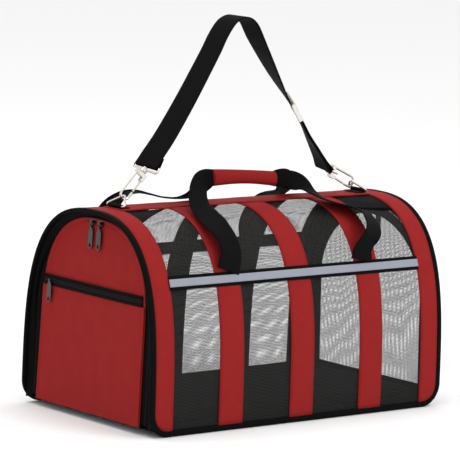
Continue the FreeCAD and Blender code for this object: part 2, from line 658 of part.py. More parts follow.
looping_leg = [
    (Vector(RIB_3 - 6, -118.8, 201), Vector(-1, 0, 0) * WEB),
    (Vector(RIB_3 - 6, -122, 213), Vector(-1, -0.1, 0) * WEB),
    (Vector(RIB_3 - 1, -125, 223), Vector(-0.96, -0.24, 0.12) * WEB),
    (Vector(RIB_3 + 6, -124, 233), Vector(-0.93, -0.32, 0.17) * WEB),
    (Vector(RIB_3 + 14, -117, 243), Vector(-0.9, -0.38, 0.17) * WEB),
    (Vector(RIB_3 + 20, -104, 252), Vector(-0.84, -0.5, 0.16) * WEB),
    (Vector(RIB_3 + 21, -88, 260), Vector(-0.74, -0.66, 0.13) * WEB),
    (Vector(RIB_3 + 13, -75, 265), Vector(-0.63, -0.76, 0.12) * WEB),
    (Vector(RIB_3 - 4, -62, 269), Vector(-0.62, -0.77, 0.14) * WEB),
    (Vector(RIB_3 - 20, -50, 273), Vector(-0.6, -0.79, 0.08) * 37),
    (Vector(RIB_3 - 28, -38, 279), Vector(-0.48, -0.86, -0.15) * 35),
    (Vector(RIB_3 - 34, -24, 287), Vector(-0.25, -0.8, -0.54) * 32),
    (Vector(RIB_3 - 44, -12, 293), Vector(-0.1, -0.5, -0.85) * 27),
    (Vector(GRIP_X + GRIP_HALF + 1, -3.4, GRIP_Z), Vector(0, 0, -1) * 19),
]
front_legs = [ribbon(steep_leg, WEB_THICK), ribbon(looping_leg, WEB_THICK)]
back_legs = []
for start_x, leg in ((GRIP_X - GRIP_HALF - 1, looping_leg), (GRIP_X + GRIP_HALF + 1, steep_leg)):
    turned = []
    for centre, width in leg:
        turned.append((Vector(2 * PIVOT_X - centre.x, -centre.y, centre.z),
                       Vector(-width.x, -width.y, width.z)))
    last_centre, last_width = turned[-1]
    turned[-1] = (Vector(start_x, last_centre.y, last_centre.z), last_width)
    back_legs.append(ribbon(turned, WEB_THICK))
add_feature("front_handle_webbing", Part.makeCompound(front_legs))
add_feature("back_handle_webbing", Part.makeCompound(back_legs))


def grip_section(half_width, half_height, length):
    """An upright elliptic bar along X, centred on the grip."""
    ellipse = Part.Ellipse(Vector(0, 0, half_height), Vector(0, half_width, 0), Vector())
    face = Part.Face(Part.Wire(ellipse.toShape()))
    solid = face.extrude(Vector(length, 0, 0))
    solid.translate(Vector(GRIP_X - length / 2, 0, GRIP_Z))
    return solid


grip_wall = dim("grip_wall")
grip_outer = grip_section(dim("grip_width") / 2, dim("grip_height") / 2, 2 * GRIP_HALF)
grip_inner = grip_section(dim("grip_width") / 2 - grip_wall, dim("grip_height") / 2 - grip_wall,
                          2 * GRIP_HALF + 2)
add_feature("grip_wrap", grip_outer.cut(grip_inner))
add_feature("grip_core", grip_section(dim("grip_width") / 2 - grip_wall - 0.1,
                                      dim("grip_height") / 2 - grip_wall - 0.1,
                                      2 * GRIP_HALF - 1))


# ---------------------------------------------------------------- D-rings and their tabs

RING_R = dim("ring_wire") / 2
RING_HALF = dim("ring_width") / 2
RISE = dim("ring_rise")
RING_TILT = dim("ring_tilt")


def ring_shape():
    """A triangular D-ring in the local YZ plane, its bar on the Y axis, its tip towards +Z."""
    foot_radius = 2.2
    tip_radius = 5.0
    tip_cut = 2.1
    corners = [Vector(0, -RING_HALF, 0), Vector(0, RING_HALF, 0), Vector(0, 0, RISE + tip_cut)]
    radii = [foot_radius, foot_radius, tip_radius]
    rounded = []
    for index in range(3):
        corner = corners[index]
        to_before = (corners[index - 1] - corner).normalize()
        to_after = (corners[(index + 1) % 3] - corner).normalize()
        half = math.acos(to_before.dot(to_after)) / 2
        cut_back = radii[index] / math.tan(half)
        centre = corner + (to_before + to_after).normalize() * (radii[index] / math.sin(half))
        middle = centre + (corner - centre).normalize() * radii[index]
        rounded.append((corner + to_before * cut_back, middle, corner + to_after * cut_back))
    edges = []
    for index in range(3):
        start, middle, end = rounded[index]
        edges.append(arc(start, middle, end))
        edges.append(line(end, rounded[(index + 1) % 3][0]))
    start_point = (rounded[0][2] + rounded[1][0]) * 0.5
    first = line(start_point, rounded[1][0])
    last = line(rounded[0][2], start_point)
    path = [first, edges[2], edges[3], edges[4], edges[5], edges[0], last]
    circle = Part.Wire(Part.makeCircle(RING_R, start_point, Vector(0, 1, 0)))
    return Part.Wire(path).makePipeShell([circle], True, False)


def ring_placement(side):
    """Where a D-ring stands: the bar on the tab, the tip leaning towards the strap."""
    lean = Placement(Vector(), Rotation(Vector(0, 1, 0), 90 - RING_TILT))
    turn = Rotation(Vector(0, 0, 1), 0 if side < 0 else 180)
    return Placement(Vector(side * dim("ring_reach"), 0, dim("ring_level")), turn) * lean


tabs = []
for name, side in (("left", -1), ("right", 1)):
    add_feature(f"{name}_d_ring", ring_shape(), ring_placement(side))
    loop_half = RING_HALF - 6.8
    bar_x = side * dim("ring_reach")
    level = dim("ring_level")
    loop = Part.makeCylinder(RING_R + 1.2, 2 * loop_half, Vector(bar_x, -loop_half, level),
                             Vector(0, 1, 0))
    tail_low, tail_high = sorted((bar_x, bar_x - side * 14))
    tail = box(Vector(tail_low, -loop_half, HEIGHT + 0.7), Vector(tail_high, loop_half, HEIGHT + 1.9))
    bore = Part.makeCylinder(RING_R + 0.2, 2 * loop_half + 4, Vector(bar_x, -loop_half - 2, level),
                             Vector(0, 1, 0))
    tabs.append(loop.fuse(tail).cut(bore).removeSplitter())
add_feature("d_ring_tabs", Part.makeCompound(tabs))


# ---------------------------------------------------------------- snap hooks
# Local frame of a hook: origin at the bowl's centre, stem along +Z towards the strap, hook in the
# XZ plane with its back at -X and its mouth at +X.

BOWL = dim("hook_bowl")
WIRE_R = dim("hook_wire") / 2
REACH = dim("hook_reach")
NOSE_LEVEL = 8.0
GATE_PIVOT = Vector(BOWL - 1.2, 0, REACH - 5.5)
GATE_R = 1.3
SWIVEL_START = REACH + 3.2
LOOP_LEVEL = REACH + 11.5
LOOP_R = dim("loop_wire") / 2
LOOP_HALF_WIDTH = WEB / 2 + LOOP_R + 1.2
LOOP_HALF_RISE = 3.8


def hook_shape():
    """The hook's wire, its base block and the swivel pin."""
    wire = rod([line(Vector(-BOWL, 0, REACH - 2), Vector(-BOWL, 0, 0)),
                arc(Vector(-BOWL, 0, 0), Vector(0, 0, -BOWL), Vector(BOWL, 0, 0)),
                line(Vector(BOWL, 0, 0), Vector(BOWL, 0, NOSE_LEVEL))], WIRE_R)
    base = box(Vector(-BOWL - WIRE_R, -3.2, REACH - 3.0), Vector(BOWL + 1.2, 3.2, REACH + 2.6))
    slot = box(Vector(BOWL - 4.2, -1.75, REACH - 3.2), Vector(BOWL + 2, 1.75, REACH - 0.6))
    lugs = [box(Vector(BOWL - 3.6, sign * 2.5 - 0.7, GATE_PIVOT.z - 2),
                Vector(BOWL + 1.2, sign * 2.5 + 0.7, REACH - 2.0)) for sign in (-1, 1)]
    pin = Part.makeCylinder(1.9, 6.4, Vector(0, 0, REACH + 2.4), Vector(0, 0, 1))
    head = Part.makeCylinder(3.2, 1.5, Vector(0, 0, REACH + 8.6), Vector(0, 0, 1))
    bore = Part.makeCylinder(0.9, 8, Vector(GATE_PIVOT.x, -4, GATE_PIVOT.z), Vector(0, 1, 0))
    body = base.cut(slot).fuse([wire, pin, head] + lugs).removeSplitter()
    return body.cut(bore)


def gate_shape():
    """The sprung gate bar, its eye and the hinge pin through the hook's lugs."""
    eye = Part.makeCylinder(1.7, 3.0, GATE_PIVOT + Vector(0, -1.5, 0), Vector(0, 1, 0))
    tip = Vector(BOWL - 0.2, 0, NOSE_LEVEL + GATE_R + 0.5)
    bar = Part.makeCylinder(GATE_R, (GATE_PIVOT - tip).Length, tip, GATE_PIVOT - tip)
    pin = Part.makeCylinder(0.85, 6.2, GATE_PIVOT + Vector(0, -3.1, 0), Vector(0, 1, 0))
    return bar.fuse([eye, pin]).removeSplitter()


def swivel_loop_shape():
    """A flat wire loop for the webbing with the eye that the hook's pin turns in."""
    edges = rounded_rectangle(LOOP_HALF_WIDTH, LOOP_HALF_RISE, 2.4)
    start = edges[1].valueAt(edges[1].FirstParameter)
    tangent = edges[1].tangentAt(edges[1].FirstParameter)
    ordered = edges[1:] + edges[:1]
    circle = Part.Wire(Part.makeCircle(LOOP_R, start, tangent))
    loop = Part.Wire(ordered).makePipeShell([circle], True, False)
    loop.translate(Vector(0, 0, LOOP_LEVEL + LOOP_HALF_RISE - 4.3))
    collar = Part.makeCylinder(4.6, 4.4, Vector(0, 0, SWIVEL_START), Vector(0, 0, 1))
    room = Part.makeCylinder(3.6, 4.8, Vector(0, 0, SWIVEL_START + 4.4), Vector(0, 0, 1))
    bore = Part.makeCylinder(2.0, 12, Vector(0, 0, SWIVEL_START - 2), Vector(0, 0, 1))
    return loop.fuse(collar).cut(room).cut(bore)


ring_direction = Vector(math.cos(math.radians(RING_TILT)), 0, math.sin(math.radians(RING_TILT)))
seat_distance = RISE - RING_R - WIRE_R - 1.2


def hook_axis(side):
    """Unit vector along a hook's stem, towards the strap."""
    slope = math.radians(dim("left_hook_slope") if side < 0 else dim("right_hook_slope"))
    return Vector(-side * math.cos(slope), 0, math.sin(slope))


def hook_seat(side):
    """Centre of the hook's wire where it passes through the D-ring."""
    return Vector(side * (dim("ring_reach") - ring_direction.x * seat_distance), 0,
                  dim("ring_level") + ring_direction.z * seat_distance)


def hook_placement(side):
    """Where a hook stands: its wire through the D-ring, its mouth facing down."""
    stem = hook_axis(side)
    # local X (the mouth) points down and away from the strap
    mouth = Vector(stem.z, 0, -stem.x) if side < 0 else Vector(-stem.z, 0, stem.x)
    turn = Rotation(mouth, stem.cross(mouth), stem, "ZXY")
    return Placement(hook_seat(side) + stem * BOWL, turn)


def webbing_frame(origin, along, twist):
    """A frame whose Z runs along the strap and whose Y is the webbing's width."""
    across = Vector(0, -1, 0)
    lateral = across.cross(along)
    angle = math.radians(twist)
    width = across * math.cos(angle) + lateral * math.sin(angle)
    return Placement(origin, Rotation(width.cross(along), width, along, "ZYX"))


loop_bar_level = LOOP_LEVEL + 2 * LOOP_HALF_RISE - 4.3
bars = {}
for name, side, twist in (("left", -1, dim("left_twist")), ("right", 1, dim("right_loop_twist"))):
    place = hook_placement(side)
    add_feature(f"{name}_snap_hook", hook_shape(), place)
    add_feature(f"{name}_hook_gate", gate_shape(), place)
    stem = hook_axis(side)
    loop_frame = webbing_frame(place.Base, stem, twist if side < 0 else -twist)
    add_feature(f"{name}_swivel_loop", swivel_loop_shape(), loop_frame)
    bars[name] = (place.Base + stem * loop_bar_level, stem,
                  loop_frame.Rotation.multVec(Vector(0, 1, 0)))


# ---------------------------------------------------------------- shoulder strap
# Two straight legs run from the loops to one bend at the top. The legs twist slightly.

BEND = dim("strap_bend")
left_bar = bars["left"][0]
right_bar = bars["right"][0]
BAR_CLEAR = LOOP_R + 0.4
CLOSING = 14
LAYER_ROOM = 0.4


def leg_slopes():
    """Slopes of both legs that put the bend's top at the strap's height."""
    left_x, left_z = left_bar.x, left_bar.z
    right_x, right_z = right_bar.x, right_bar.z
    centre_z = dim("strap_top") - BEND
    centre_x = (left_x + right_x) / 2 - 9
    slopes = []
    for bar_x, bar_z in ((left_x, left_z), (right_x, right_z)):
        run = abs(centre_x - bar_x)
        rise = centre_z - bar_z
        distance = math.hypot(run, rise)
        slopes.append(math.atan2(rise, run) + math.asin(BEND / distance))
    return centre_x, centre_z, slopes


bend_x, bend_z, (left_slope, right_slope) = leg_slopes()
left_along = Vector(math.cos(left_slope), 0, math.sin(left_slope))
right_along = Vector(-math.cos(right_slope), 0, math.sin(right_slope))
left_tangent = Vector(bend_x - BEND * math.sin(left_slope), 0, bend_z + BEND * math.cos(left_slope))
right_tangent = Vector(bend_x + BEND * math.sin(right_slope), 0,
                       bend_z + BEND * math.cos(right_slope))


def width_vector(along, twist):
    """Width of the webbing at a twist from the Y direction."""
    across = Vector(0, -1, 0)
    lateral = across.cross(along)
    angle = math.radians(twist)
    return (across * math.cos(angle) + lateral * math.sin(angle)) * WEB


def hairpin(bar, bar_across, along, width, length, steps=6):
    """Stations of webbing folded round a loop's bar, both layers running up the strap.

    At the bar the webbing lies along the bar; at its far end it has the strap's width vector.
    A twisted fold needs more steps, so that the flat triangles of its two layers stay apart.
    """
    offset = BAR_CLEAR + WEB_THICK / 2
    together = WEB_THICK / 2 + LAYER_ROOM
    layers = []
    for side in (-1, 1):
        layer = []
        for step in range(steps + 1):
            share = step / steps
            blend = bar_across * (1 - share) + width * (share / WEB)
            normal = blend.cross(along).normalize()
            spread = together + (offset - together) * max(0, 1 - length * share / CLOSING)
            layer.append((bar + along * (length * share) + normal * (side * spread),
                          blend.normalize() * WEB))
        layers.append(layer)
    normal = bar_across.cross(along).normalize()
    down = bar_across.cross(normal).normalize()
    if down.dot(along) > 0:
        down = down * -1
    fold = []
    for step in range(1, 12):
        turn = math.pi * step / 12
        centre = bar - normal * (offset * math.cos(turn)) + down * (offset * math.sin(turn))
        fold.append((centre, bar_across * WEB))
    return layers[0][::-1] + fold + layers[1]


left_start = 26.0
left_leg_length = (left_tangent - left_bar).dot(left_along)
right_leg_length = (right_tangent - right_bar).dot(right_along)
LOWER = dim("lower_loop_length")

left_width = width_vector(left_along, dim("left_twist"))
strap_stations = hairpin(left_bar, bars["left"][2], left_along, left_width, left_start)
for step in range(1, 7):
    share = step / 6
    distance = left_start + (left_leg_length - left_start) * share
    twist = dim("left_twist") * (1 - share)
    strap_stations.append((left_bar + left_along * distance, width_vector(left_along, twist)))
for step in range(1, 12):
    sweep = math.pi / 2 + left_slope - (left_slope + right_slope) * step / 12
    centre = Vector(bend_x + BEND * math.cos(sweep), 0, bend_z + BEND * math.sin(sweep))
    strap_stations.append((centre, Vector(0, -WEB, 0)))
for step in range(7):
    share = step / 6
    distance = right_leg_length + (LOWER - 7.8 - right_leg_length) * share
    twist = dim("right_twist") * min(share * 1.6, 1)
    strap_stations.append((right_bar + right_along * distance,
                           width_vector(right_along, -twist)))
strap_ribbon = ribbon(strap_stations, WEB_THICK)
stitch_stations = [(left_bar + left_along * distance, left_width * 0.9)
                   for distance in (left_start - 10, left_start - 2)]
stitch_block = ribbon(stitch_stations, WEB_THICK)
add_feature("shoulder_strap", strap_ribbon.fuse(stitch_block))
right_width = width_vector(right_along, -dim("right_twist"))
lower_fold = hairpin(right_bar, bars["right"][2], right_along, right_width, LOWER - 8, 20)
add_feature("strap_lower_loop", ribbon(lower_fold, WEB_THICK))


# ---------------------------------------------------------------- strap adjuster

def adjuster_plate():
    """A flat three-bar slider in two faces; the strap runs between them."""
    slot_half = WEB / 2 + 0.8
    frame_half = slot_half + 3
    rise = 13.0
    bar = 2.4
    plate = box(Vector(-2.9, -frame_half, -rise), Vector(2.9, frame_half, rise))
    tunnel = box(Vector(-1.5, -slot_half, -rise - 1), Vector(1.5, slot_half, rise + 1))
    slots = [box(Vector(-4, -slot_half, low), Vector(4, slot_half, low + rise - 1.5 * bar))
             for low in (bar / 2, bar - rise)]
    return plate.cut([tunnel] + slots)


adjuster_centre = right_bar + right_along * (LOWER + 8)
adjuster_frame = webbing_frame(adjuster_centre, right_along, -dim("right_twist"))
add_feature("strap_adjuster", adjuster_plate(), adjuster_frame)


# ---------------------------------------------------------------- checks and export

doc.recompute()
for item in doc.Objects:
    if "Invalid" in item.State or "Error" in item.State:
        raise RuntimeError(f"{item.Label} failed to build")
for node in nodes:
    if node.Shape.isNull() or not node.Shape.isValid():
        raise RuntimeError(f"{node.Label} has no valid shape")
    if node.Shape.Volume <= 0:
        raise RuntimeError(f"{node.Label} has no volume")

os.makedirs("parts", exist_ok=True)
for node in nodes:
    node.Shape.exportStep(os.path.join("parts", f"{node.Label}.step"))
print(f"{len(nodes)} nodes written")
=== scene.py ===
import math
import bpy
import numpy as np
from mathutils import Matrix, Vector, noise


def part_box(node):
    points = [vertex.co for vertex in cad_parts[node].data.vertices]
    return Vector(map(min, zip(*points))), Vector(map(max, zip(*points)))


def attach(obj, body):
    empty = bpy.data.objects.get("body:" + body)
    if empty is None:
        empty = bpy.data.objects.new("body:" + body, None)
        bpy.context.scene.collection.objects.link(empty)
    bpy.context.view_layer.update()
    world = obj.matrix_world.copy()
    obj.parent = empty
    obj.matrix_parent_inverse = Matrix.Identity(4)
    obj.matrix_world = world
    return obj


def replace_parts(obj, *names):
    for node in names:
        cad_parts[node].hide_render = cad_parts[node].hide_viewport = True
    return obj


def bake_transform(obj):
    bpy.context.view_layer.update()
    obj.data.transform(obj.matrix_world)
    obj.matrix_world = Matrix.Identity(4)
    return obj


# Soft-sided pet carrier. X runs along the body, Y across it (front at -Y), Z up. All shapes are
# worked out in millimetres and written to the meshes in metres.

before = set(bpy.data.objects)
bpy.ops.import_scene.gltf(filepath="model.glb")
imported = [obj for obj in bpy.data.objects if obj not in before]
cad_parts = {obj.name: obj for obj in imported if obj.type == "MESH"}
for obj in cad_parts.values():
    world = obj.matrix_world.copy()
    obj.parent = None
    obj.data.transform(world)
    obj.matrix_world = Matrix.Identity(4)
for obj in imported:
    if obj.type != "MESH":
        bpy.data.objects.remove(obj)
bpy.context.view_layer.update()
MM = 0.001


def corner(node, high):
    """One corner of a CAD node's box, in millimetres."""
    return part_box(node)[1 if high else 0] / MM


# ---------------------------------------------------------------- sizes
HALF_LENGTH = -corner("left_rim_binding", False).x
HALF_WIDTH = corner("left_rim_binding", True).y
HEIGHT = 268.0
HEIGHT_POWER = 3.59
WIDTH_POWER = 2.54
CORNER_RADIUS = 30.0
BINDING_WIDTH = 8.0
BINDING_DEPTH = 5.0
BAND_INNER = -corner("left_end_band", True).x
SPINE_HALF = 20.0
STRIP_LEVEL = 189.5
RIBS = [(corner(f"rib_strap_{n}", False).x, corner(f"rib_strap_{n}", True).x) for n in (1, 2, 3)]

HINGE_REACH = 233.0
HINGE_LEVEL = 9.0
LEAN = math.radians(1.5)
TRACK = 116.0
SPRING = 126.5
PANEL_HALF = 106.0
ZIP_LEVEL = 157.0
ZIP_HALF = 6.5

GRIP_LOW = corner("grip_wrap", False)
GRIP_HIGH = corner("grip_wrap", True)
WEBBING = 38.0
CLOTH = 1.4


# ---------------------------------------------------------------- materials
def new_material(name):
    material = bpy.data.materials.new(name)
    material.use_nodes = True
    nodes = material.node_tree.nodes
    return material, nodes, material.node_tree.links, nodes["Principled BSDF"]


def math_node(nodes, links, operation, first, second=None):
    """A Math node; an input is a number or an output socket."""
    node = nodes.new("ShaderNodeMath")
    node.operation = operation
    for index, value in enumerate((first, second)):
        if value is None:
            continue
        if isinstance(value, (int, float)):
            node.inputs[index].default_value = value
        else:
            links.new(value, node.inputs[index])
    return node.outputs[0]


def woven(name, colour, thread, depth, roughness, rib=1.0, mottling=0.12, sheen=0.0,
          specular=0.03):
    """Woven cloth: crossing threads of a pitch in mm, laid in the piece's own flat coordinates."""
    material, nodes, links, shader = new_material(name)
    coordinates = nodes.new("ShaderNodeUVMap")
    split = nodes.new("ShaderNodeSeparateXYZ")
    links.new(coordinates.outputs["UV"], split.inputs[0])
    turn = 2 * math.pi / thread
    warp = math_node(nodes, links, "SINE", math_node(nodes, links, "MULTIPLY",
                                                     split.outputs[0], turn))
    weft = math_node(nodes, links, "SINE", math_node(nodes, links, "MULTIPLY",
                                                     split.outputs[1], turn * rib))
    crossing = math_node(nodes, links, "MULTIPLY", warp, weft)
    bump = nodes.new("ShaderNodeBump")
    bump.inputs["Strength"].default_value = 0.5
    bump.inputs["Distance"].default_value = depth * MM
    links.new(crossing, bump.inputs["Height"])
    links.new(bump.outputs["Normal"], shader.inputs["Normal"])
    patches = nodes.new("ShaderNodeTexNoise")
    patches.inputs["Scale"].default_value = 0.05
    patches.inputs["Detail"].default_value = 6.0
    links.new(coordinates.outputs["UV"], patches.inputs["Vector"])
    ramp = nodes.new("ShaderNodeMix")
    ramp.data_type = "RGBA"
    ramp.inputs[6].default_value = (*[c * (1 - mottling) for c in colour], 1)
    ramp.inputs[7].default_value = (*[c * (1 + mottling) for c in colour], 1)
    links.new(patches.outputs["Fac"], ramp.inputs[0])
    # painted shade: the cloth colour is darkened in the low grooves of the weave, where the crossing
    # threads sink
    shade = nodes.new("ShaderNodeMix")
    shade.data_type = "RGBA"
    shade.blend_type = "MULTIPLY"
    shade.inputs[7].default_value = (0.72, 0.72, 0.72, 1)
    grooves = math_node(nodes, links, "MULTIPLY", math_node(
        nodes, links, "SUBTRACT", 0.5, math_node(nodes, links, "MULTIPLY", crossing, 0.5)), 0.6)
    links.new(grooves, shade.inputs[0])
    links.new(ramp.outputs[2], shade.inputs[6])
    links.new(shade.outputs[2], shader.inputs["Base Color"])
    shader.inputs["Roughness"].default_value = roughness
    shader.inputs["Sheen Weight"].default_value = sheen
    shader.inputs["Specular IOR Level"].default_value = specular
    return material


def netting(name, colour, pitch, open_share):
    """Knitted net: round holes in staggered rows, see-through where a hole is."""
    material, nodes, links, shader = new_material(name)
    shader.inputs["Base Color"].default_value = (*colour, 1)
    shader.inputs["Roughness"].default_value = 0.75
    coordinates = nodes.new("ShaderNodeUVMap")
    radius = math.sqrt(open_share * math.sqrt(3) / (2 * math.pi))
    nearest = None
    for shift in (0.0, 0.5):
        mapping = nodes.new("ShaderNodeMapping")
        mapping.inputs["Location"].default_value = (shift, shift, 0)
        mapping.inputs["Scale"].default_value = (1 / pitch, 1 / (pitch * math.sqrt(3)), 1)
        links.new(coordinates.outputs["UV"], mapping.inputs["Vector"])
        cell = nodes.new("ShaderNodeVectorMath")
        cell.operation = "FRACTION"
        links.new(mapping.outputs["Vector"], cell.inputs[0])
        centred = nodes.new("ShaderNodeVectorMath")
        centred.operation = "SUBTRACT"
        centred.inputs[1].default_value = (0.5, 0.5, 0)
        links.new(cell.outputs[0], centred.inputs[0])
        stretched = nodes.new("ShaderNodeVectorMath")
        stretched.operation = "MULTIPLY"
        stretched.inputs[1].default_value = (1, math.sqrt(3), 0)
        links.new(centred.outputs[0], stretched.inputs[0])
        length = nodes.new("ShaderNodeVectorMath")
        length.operation = "LENGTH"
        links.new(stretched.outputs[0], length.inputs[0])
        distance = length.outputs["Value"]
        nearest = distance if nearest is None else math_node(nodes, links, "MINIMUM",
                                                             nearest, distance)
    hole = math_node(nodes, links, "LESS_THAN", nearest, radius)
    clear = nodes.new("ShaderNodeBsdfTransparent")
    mixed = nodes.new("ShaderNodeMixShader")
    links.new(hole, mixed.inputs[0])
    links.new(shader.outputs[0], mixed.inputs[1])
    links.new(clear.outputs[0], mixed.inputs[2])
    links.new(mixed.outputs[0], nodes["Material Output"].inputs["Surface"])
    return material


def metal(name, colour, roughness):
    """Plated metal with faint wear."""
    material, nodes, links, shader = new_material(name)
    shader.inputs["Base Color"].default_value = (*colour, 1)
    shader.inputs["Metallic"].default_value = 1.0
    wear = nodes.new("ShaderNodeTexNoise")
    wear.inputs["Scale"].default_value = 900.0
    spread = nodes.new("ShaderNodeMapRange")
    spread.inputs["To Min"].default_value = roughness * 0.8
    spread.inputs["To Max"].default_value = roughness * 1.3
    links.new(wear.outputs["Fac"], spread.inputs["Value"])
    links.new(spread.outputs["Result"], shader.inputs["Roughness"])
    return material


RED = woven("red_nylon", (0.28, 0.0155, 0.015), 0.9, 0.12, 0.62, specular=0.05)
BLACK = woven("black_nylon", (0.0036, 0.0036, 0.0037), 0.9, 0.10, 0.6)
WEB = woven("black_webbing", (0.0045, 0.0045, 0.0045), 1.9, 0.30, 0.62, rib=2.0)
TAPE = woven("reflective_tape", (0.29, 0.31, 0.36), 1.2, 0.04, 0.35, mottling=0.06)
FLEECE = woven("fleece", (0.0036, 0.0036, 0.0037), 1.6, 0.40, 0.9, mottling=0.3)
THREAD = woven("red_thread", (0.20, 0.02, 0.022), 0.5, 0.05, 0.7)
BLACK_THREAD = woven("black_thread", (0.012, 0.012, 0.012), 0.5, 0.05, 0.7)
NET = netting("netting", (0.009, 0.0082, 0.007), 2.1, 0.55)
NICKEL = metal("nickel", (0.70, 0.67, 0.62), 0.22)
DARK_NICKEL = metal("dark_nickel", (0.075, 0.070, 0.066), 0.25)


# ---------------------------------------------------------------- meshes
def add_mesh(name, points, faces, uvs, materials, body, face_materials=None, smooth=True):
    """A mesh object from points in mm; uvs holds one flat coordinate in mm per point."""
    mesh = bpy.data.meshes.new(name)
    mesh.from_pydata([tuple(p) for p in np.asarray(points, float) * MM], [], faces)
    layer = mesh.uv_layers.new(name="UVMap")
    vertex = np.zeros(len(mesh.loops), np.int32)
    mesh.loops.foreach_get("vertex_index", vertex)
    layer.data.foreach_set("uv", np.asarray(uvs, np.float32)[vertex].ravel())
    for material in materials:
        mesh.materials.append(material)
    if face_materials is not None:
        mesh.polygons.foreach_set("material_index", np.asarray(face_materials, np.int32))
    mesh.polygons.foreach_set("use_smooth", [smooth] * len(mesh.polygons))
    mesh.update()
    obj = bpy.data.objects.new(name, mesh)
    bpy.context.scene.collection.objects.link(obj)
    if body:
        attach(obj, body)
    return obj


def flat_coordinates(grid):
    """Arc lengths along a grid's columns and rows, as flat coordinates in mm."""
    across = np.zeros(grid.shape[:2])
    along = np.zeros(grid.shape[:2])
    across[:, 1:] = np.cumsum(np.linalg.norm(np.diff(grid, axis=1), axis=2), axis=1)
    across -= across[:, -1:] / 2
    along[1:] = np.cumsum(np.linalg.norm(np.diff(grid, axis=0), axis=2), axis=0)
    along = np.repeat(along.mean(axis=1, keepdims=True), grid.shape[1], axis=1)
    return np.dstack([across, along])


def grid_faces(rows, columns, start=0, flip=False):
    faces = []
    for r in range(rows - 1):
        for c in range(columns - 1):
            a = start + r * columns + c
            quad = (a, a + 1, a + columns + 1, a + columns)
            faces.append(quad[::-1] if flip else quad)
    return faces


def add_sheet(name, grid, materials, body):
    """An open surface through a grid of points."""
    rows, columns = grid.shape[:2]
    return add_mesh(name, grid.reshape(-1, 3), grid_faces(rows, columns),
                    flat_coordinates(grid).reshape(-1, 2), materials, body)


def add_slab(name, outer, inner, materials, body):
    """A closed sheet between two matching grids; a second material covers the inner side."""
    rows, columns = outer.shape[:2]
    count = rows * columns
    faces = grid_faces(rows, columns) + grid_faces(rows, columns, count, True)
    sides = [0] * ((rows - 1) * (columns - 1)) + [len(materials) - 1] * ((rows - 1) * (columns - 1))
    rim = [r * columns for r in range(rows)]
    rim += [(rows - 1) * columns + c for c in range(1, columns)]
    rim += [r * columns + columns - 1 for r in range(rows - 2, -1, -1)]
    rim += [c for c in range(columns - 2, 0, -1)]
    for a, b in zip(rim, rim[1:] + rim[:1]):
        faces.append((a, b, b + count, a + count))
        sides.append(0)
    uvs = flat_coordinates(outer).reshape(-1, 2)
    return add_mesh(name, np.vstack([outer.reshape(-1, 3), inner.reshape(-1, 3)]), faces,
                    np.vstack([uvs, uvs]), materials, body, sides)


def smooth_curve(points, count):
    """Evenly spaced points on a smooth curve through the given ones (rows of any length)."""
    points = np.asarray(points, float)
    padded = np.vstack([2 * points[0] - points[1], points, 2 * points[-1] - points[-2]])
    samples = []
    for index in range(len(points) - 1):
        p0, p1, p2, p3 = padded[index:index + 4]
        for t in np.linspace(0, 1, 24, endpoint=index == len(points) - 2):
            samples.append(0.5 * ((2 * p1) + (p2 - p0) * t + (2 * p0 - 5 * p1 + 4 * p2 - p3) * t**2
                                  + (3 * p1 - p0 - 3 * p2 + p3) * t**3))
    samples = np.array(samples)
    length = np.concatenate([[0], np.cumsum(np.linalg.norm(np.diff(samples[:, :3], axis=0),
                                                           axis=1))])
    even = np.linspace(0, length[-1], count)
    return np.column_stack([np.interp(even, length, samples[:, k])
                            for k in range(samples.shape[1])])


def unit(vectors):
    return vectors / np.linalg.norm(vectors, axis=-1, keepdims=True)


def sweep(name, path, across, profile, materials, body, closed=False):
    """A profile of (across, out) points in mm carried along a path with across directions."""
    tangent = np.gradient(path, axis=0)
    if closed:
        tangent = np.roll(path, -1, axis=0) - np.roll(path, 1, axis=0)
    across = unit(across)
    out = unit(np.cross(across, tangent))
    profile = np.asarray(profile, float)
    rings = (path[:, None] + across[:, None] * profile[None, :, :1]
             + out[:, None] * profile[None, :, 1:])
    rows, columns = rings.shape[:2]
    faces = []
    for r in range(rows if closed else rows - 1):
        for c in range(columns):
            a, b = r * columns, (r + 1) % rows * columns
            d = (c + 1) % columns
            faces.append((a + c, b + c, b + d, a + d))
    if not closed:
        faces.append(tuple(range(columns)))
        faces.append(tuple(range((rows - 1) * columns, rows * columns))[::-1])
    step = np.linalg.norm(np.diff(path, axis=0), axis=1)
    along = np.concatenate([[0], np.cumsum(step)])
    uvs = np.zeros((rows, columns, 2))
    uvs[..., 0] = profile[None, :, 0]
    uvs[..., 1] = along[:, None]
    return add_mesh(name, rings.reshape(-1, 3), faces, uvs.reshape(-1, 2), materials, body)


def flat_profile(width, thickness, edge=0.5):
    """A flat strip's section with rounded edges."""
    half, t = width / 2, thickness / 2
    right = [(half - edge, -t), (half, -t * 0.5), (half, t * 0.5), (half - edge, t)]
    inner = [(half * k, t) for k in (0.6, 0.2, -0.2, -0.6)]
    left = [(-x, -y) for x, y in right]
    back = [(-x, -y) for x, y in inner]
    return right + inner + left + back


def round_profile(width, height, count=12, power=2.0):
    """A rounded section: an ellipse at power 2, boxier above it."""
    section = []
    for step in range(count):
        angle = 2 * math.pi * step / count
        c, s = math.cos(angle), math.sin(angle)
        section.append((math.copysign(abs(c) ** (2 / power), c) * width / 2,
                        math.copysign(abs(s) ** (2 / power), s) * height / 2))
    return section


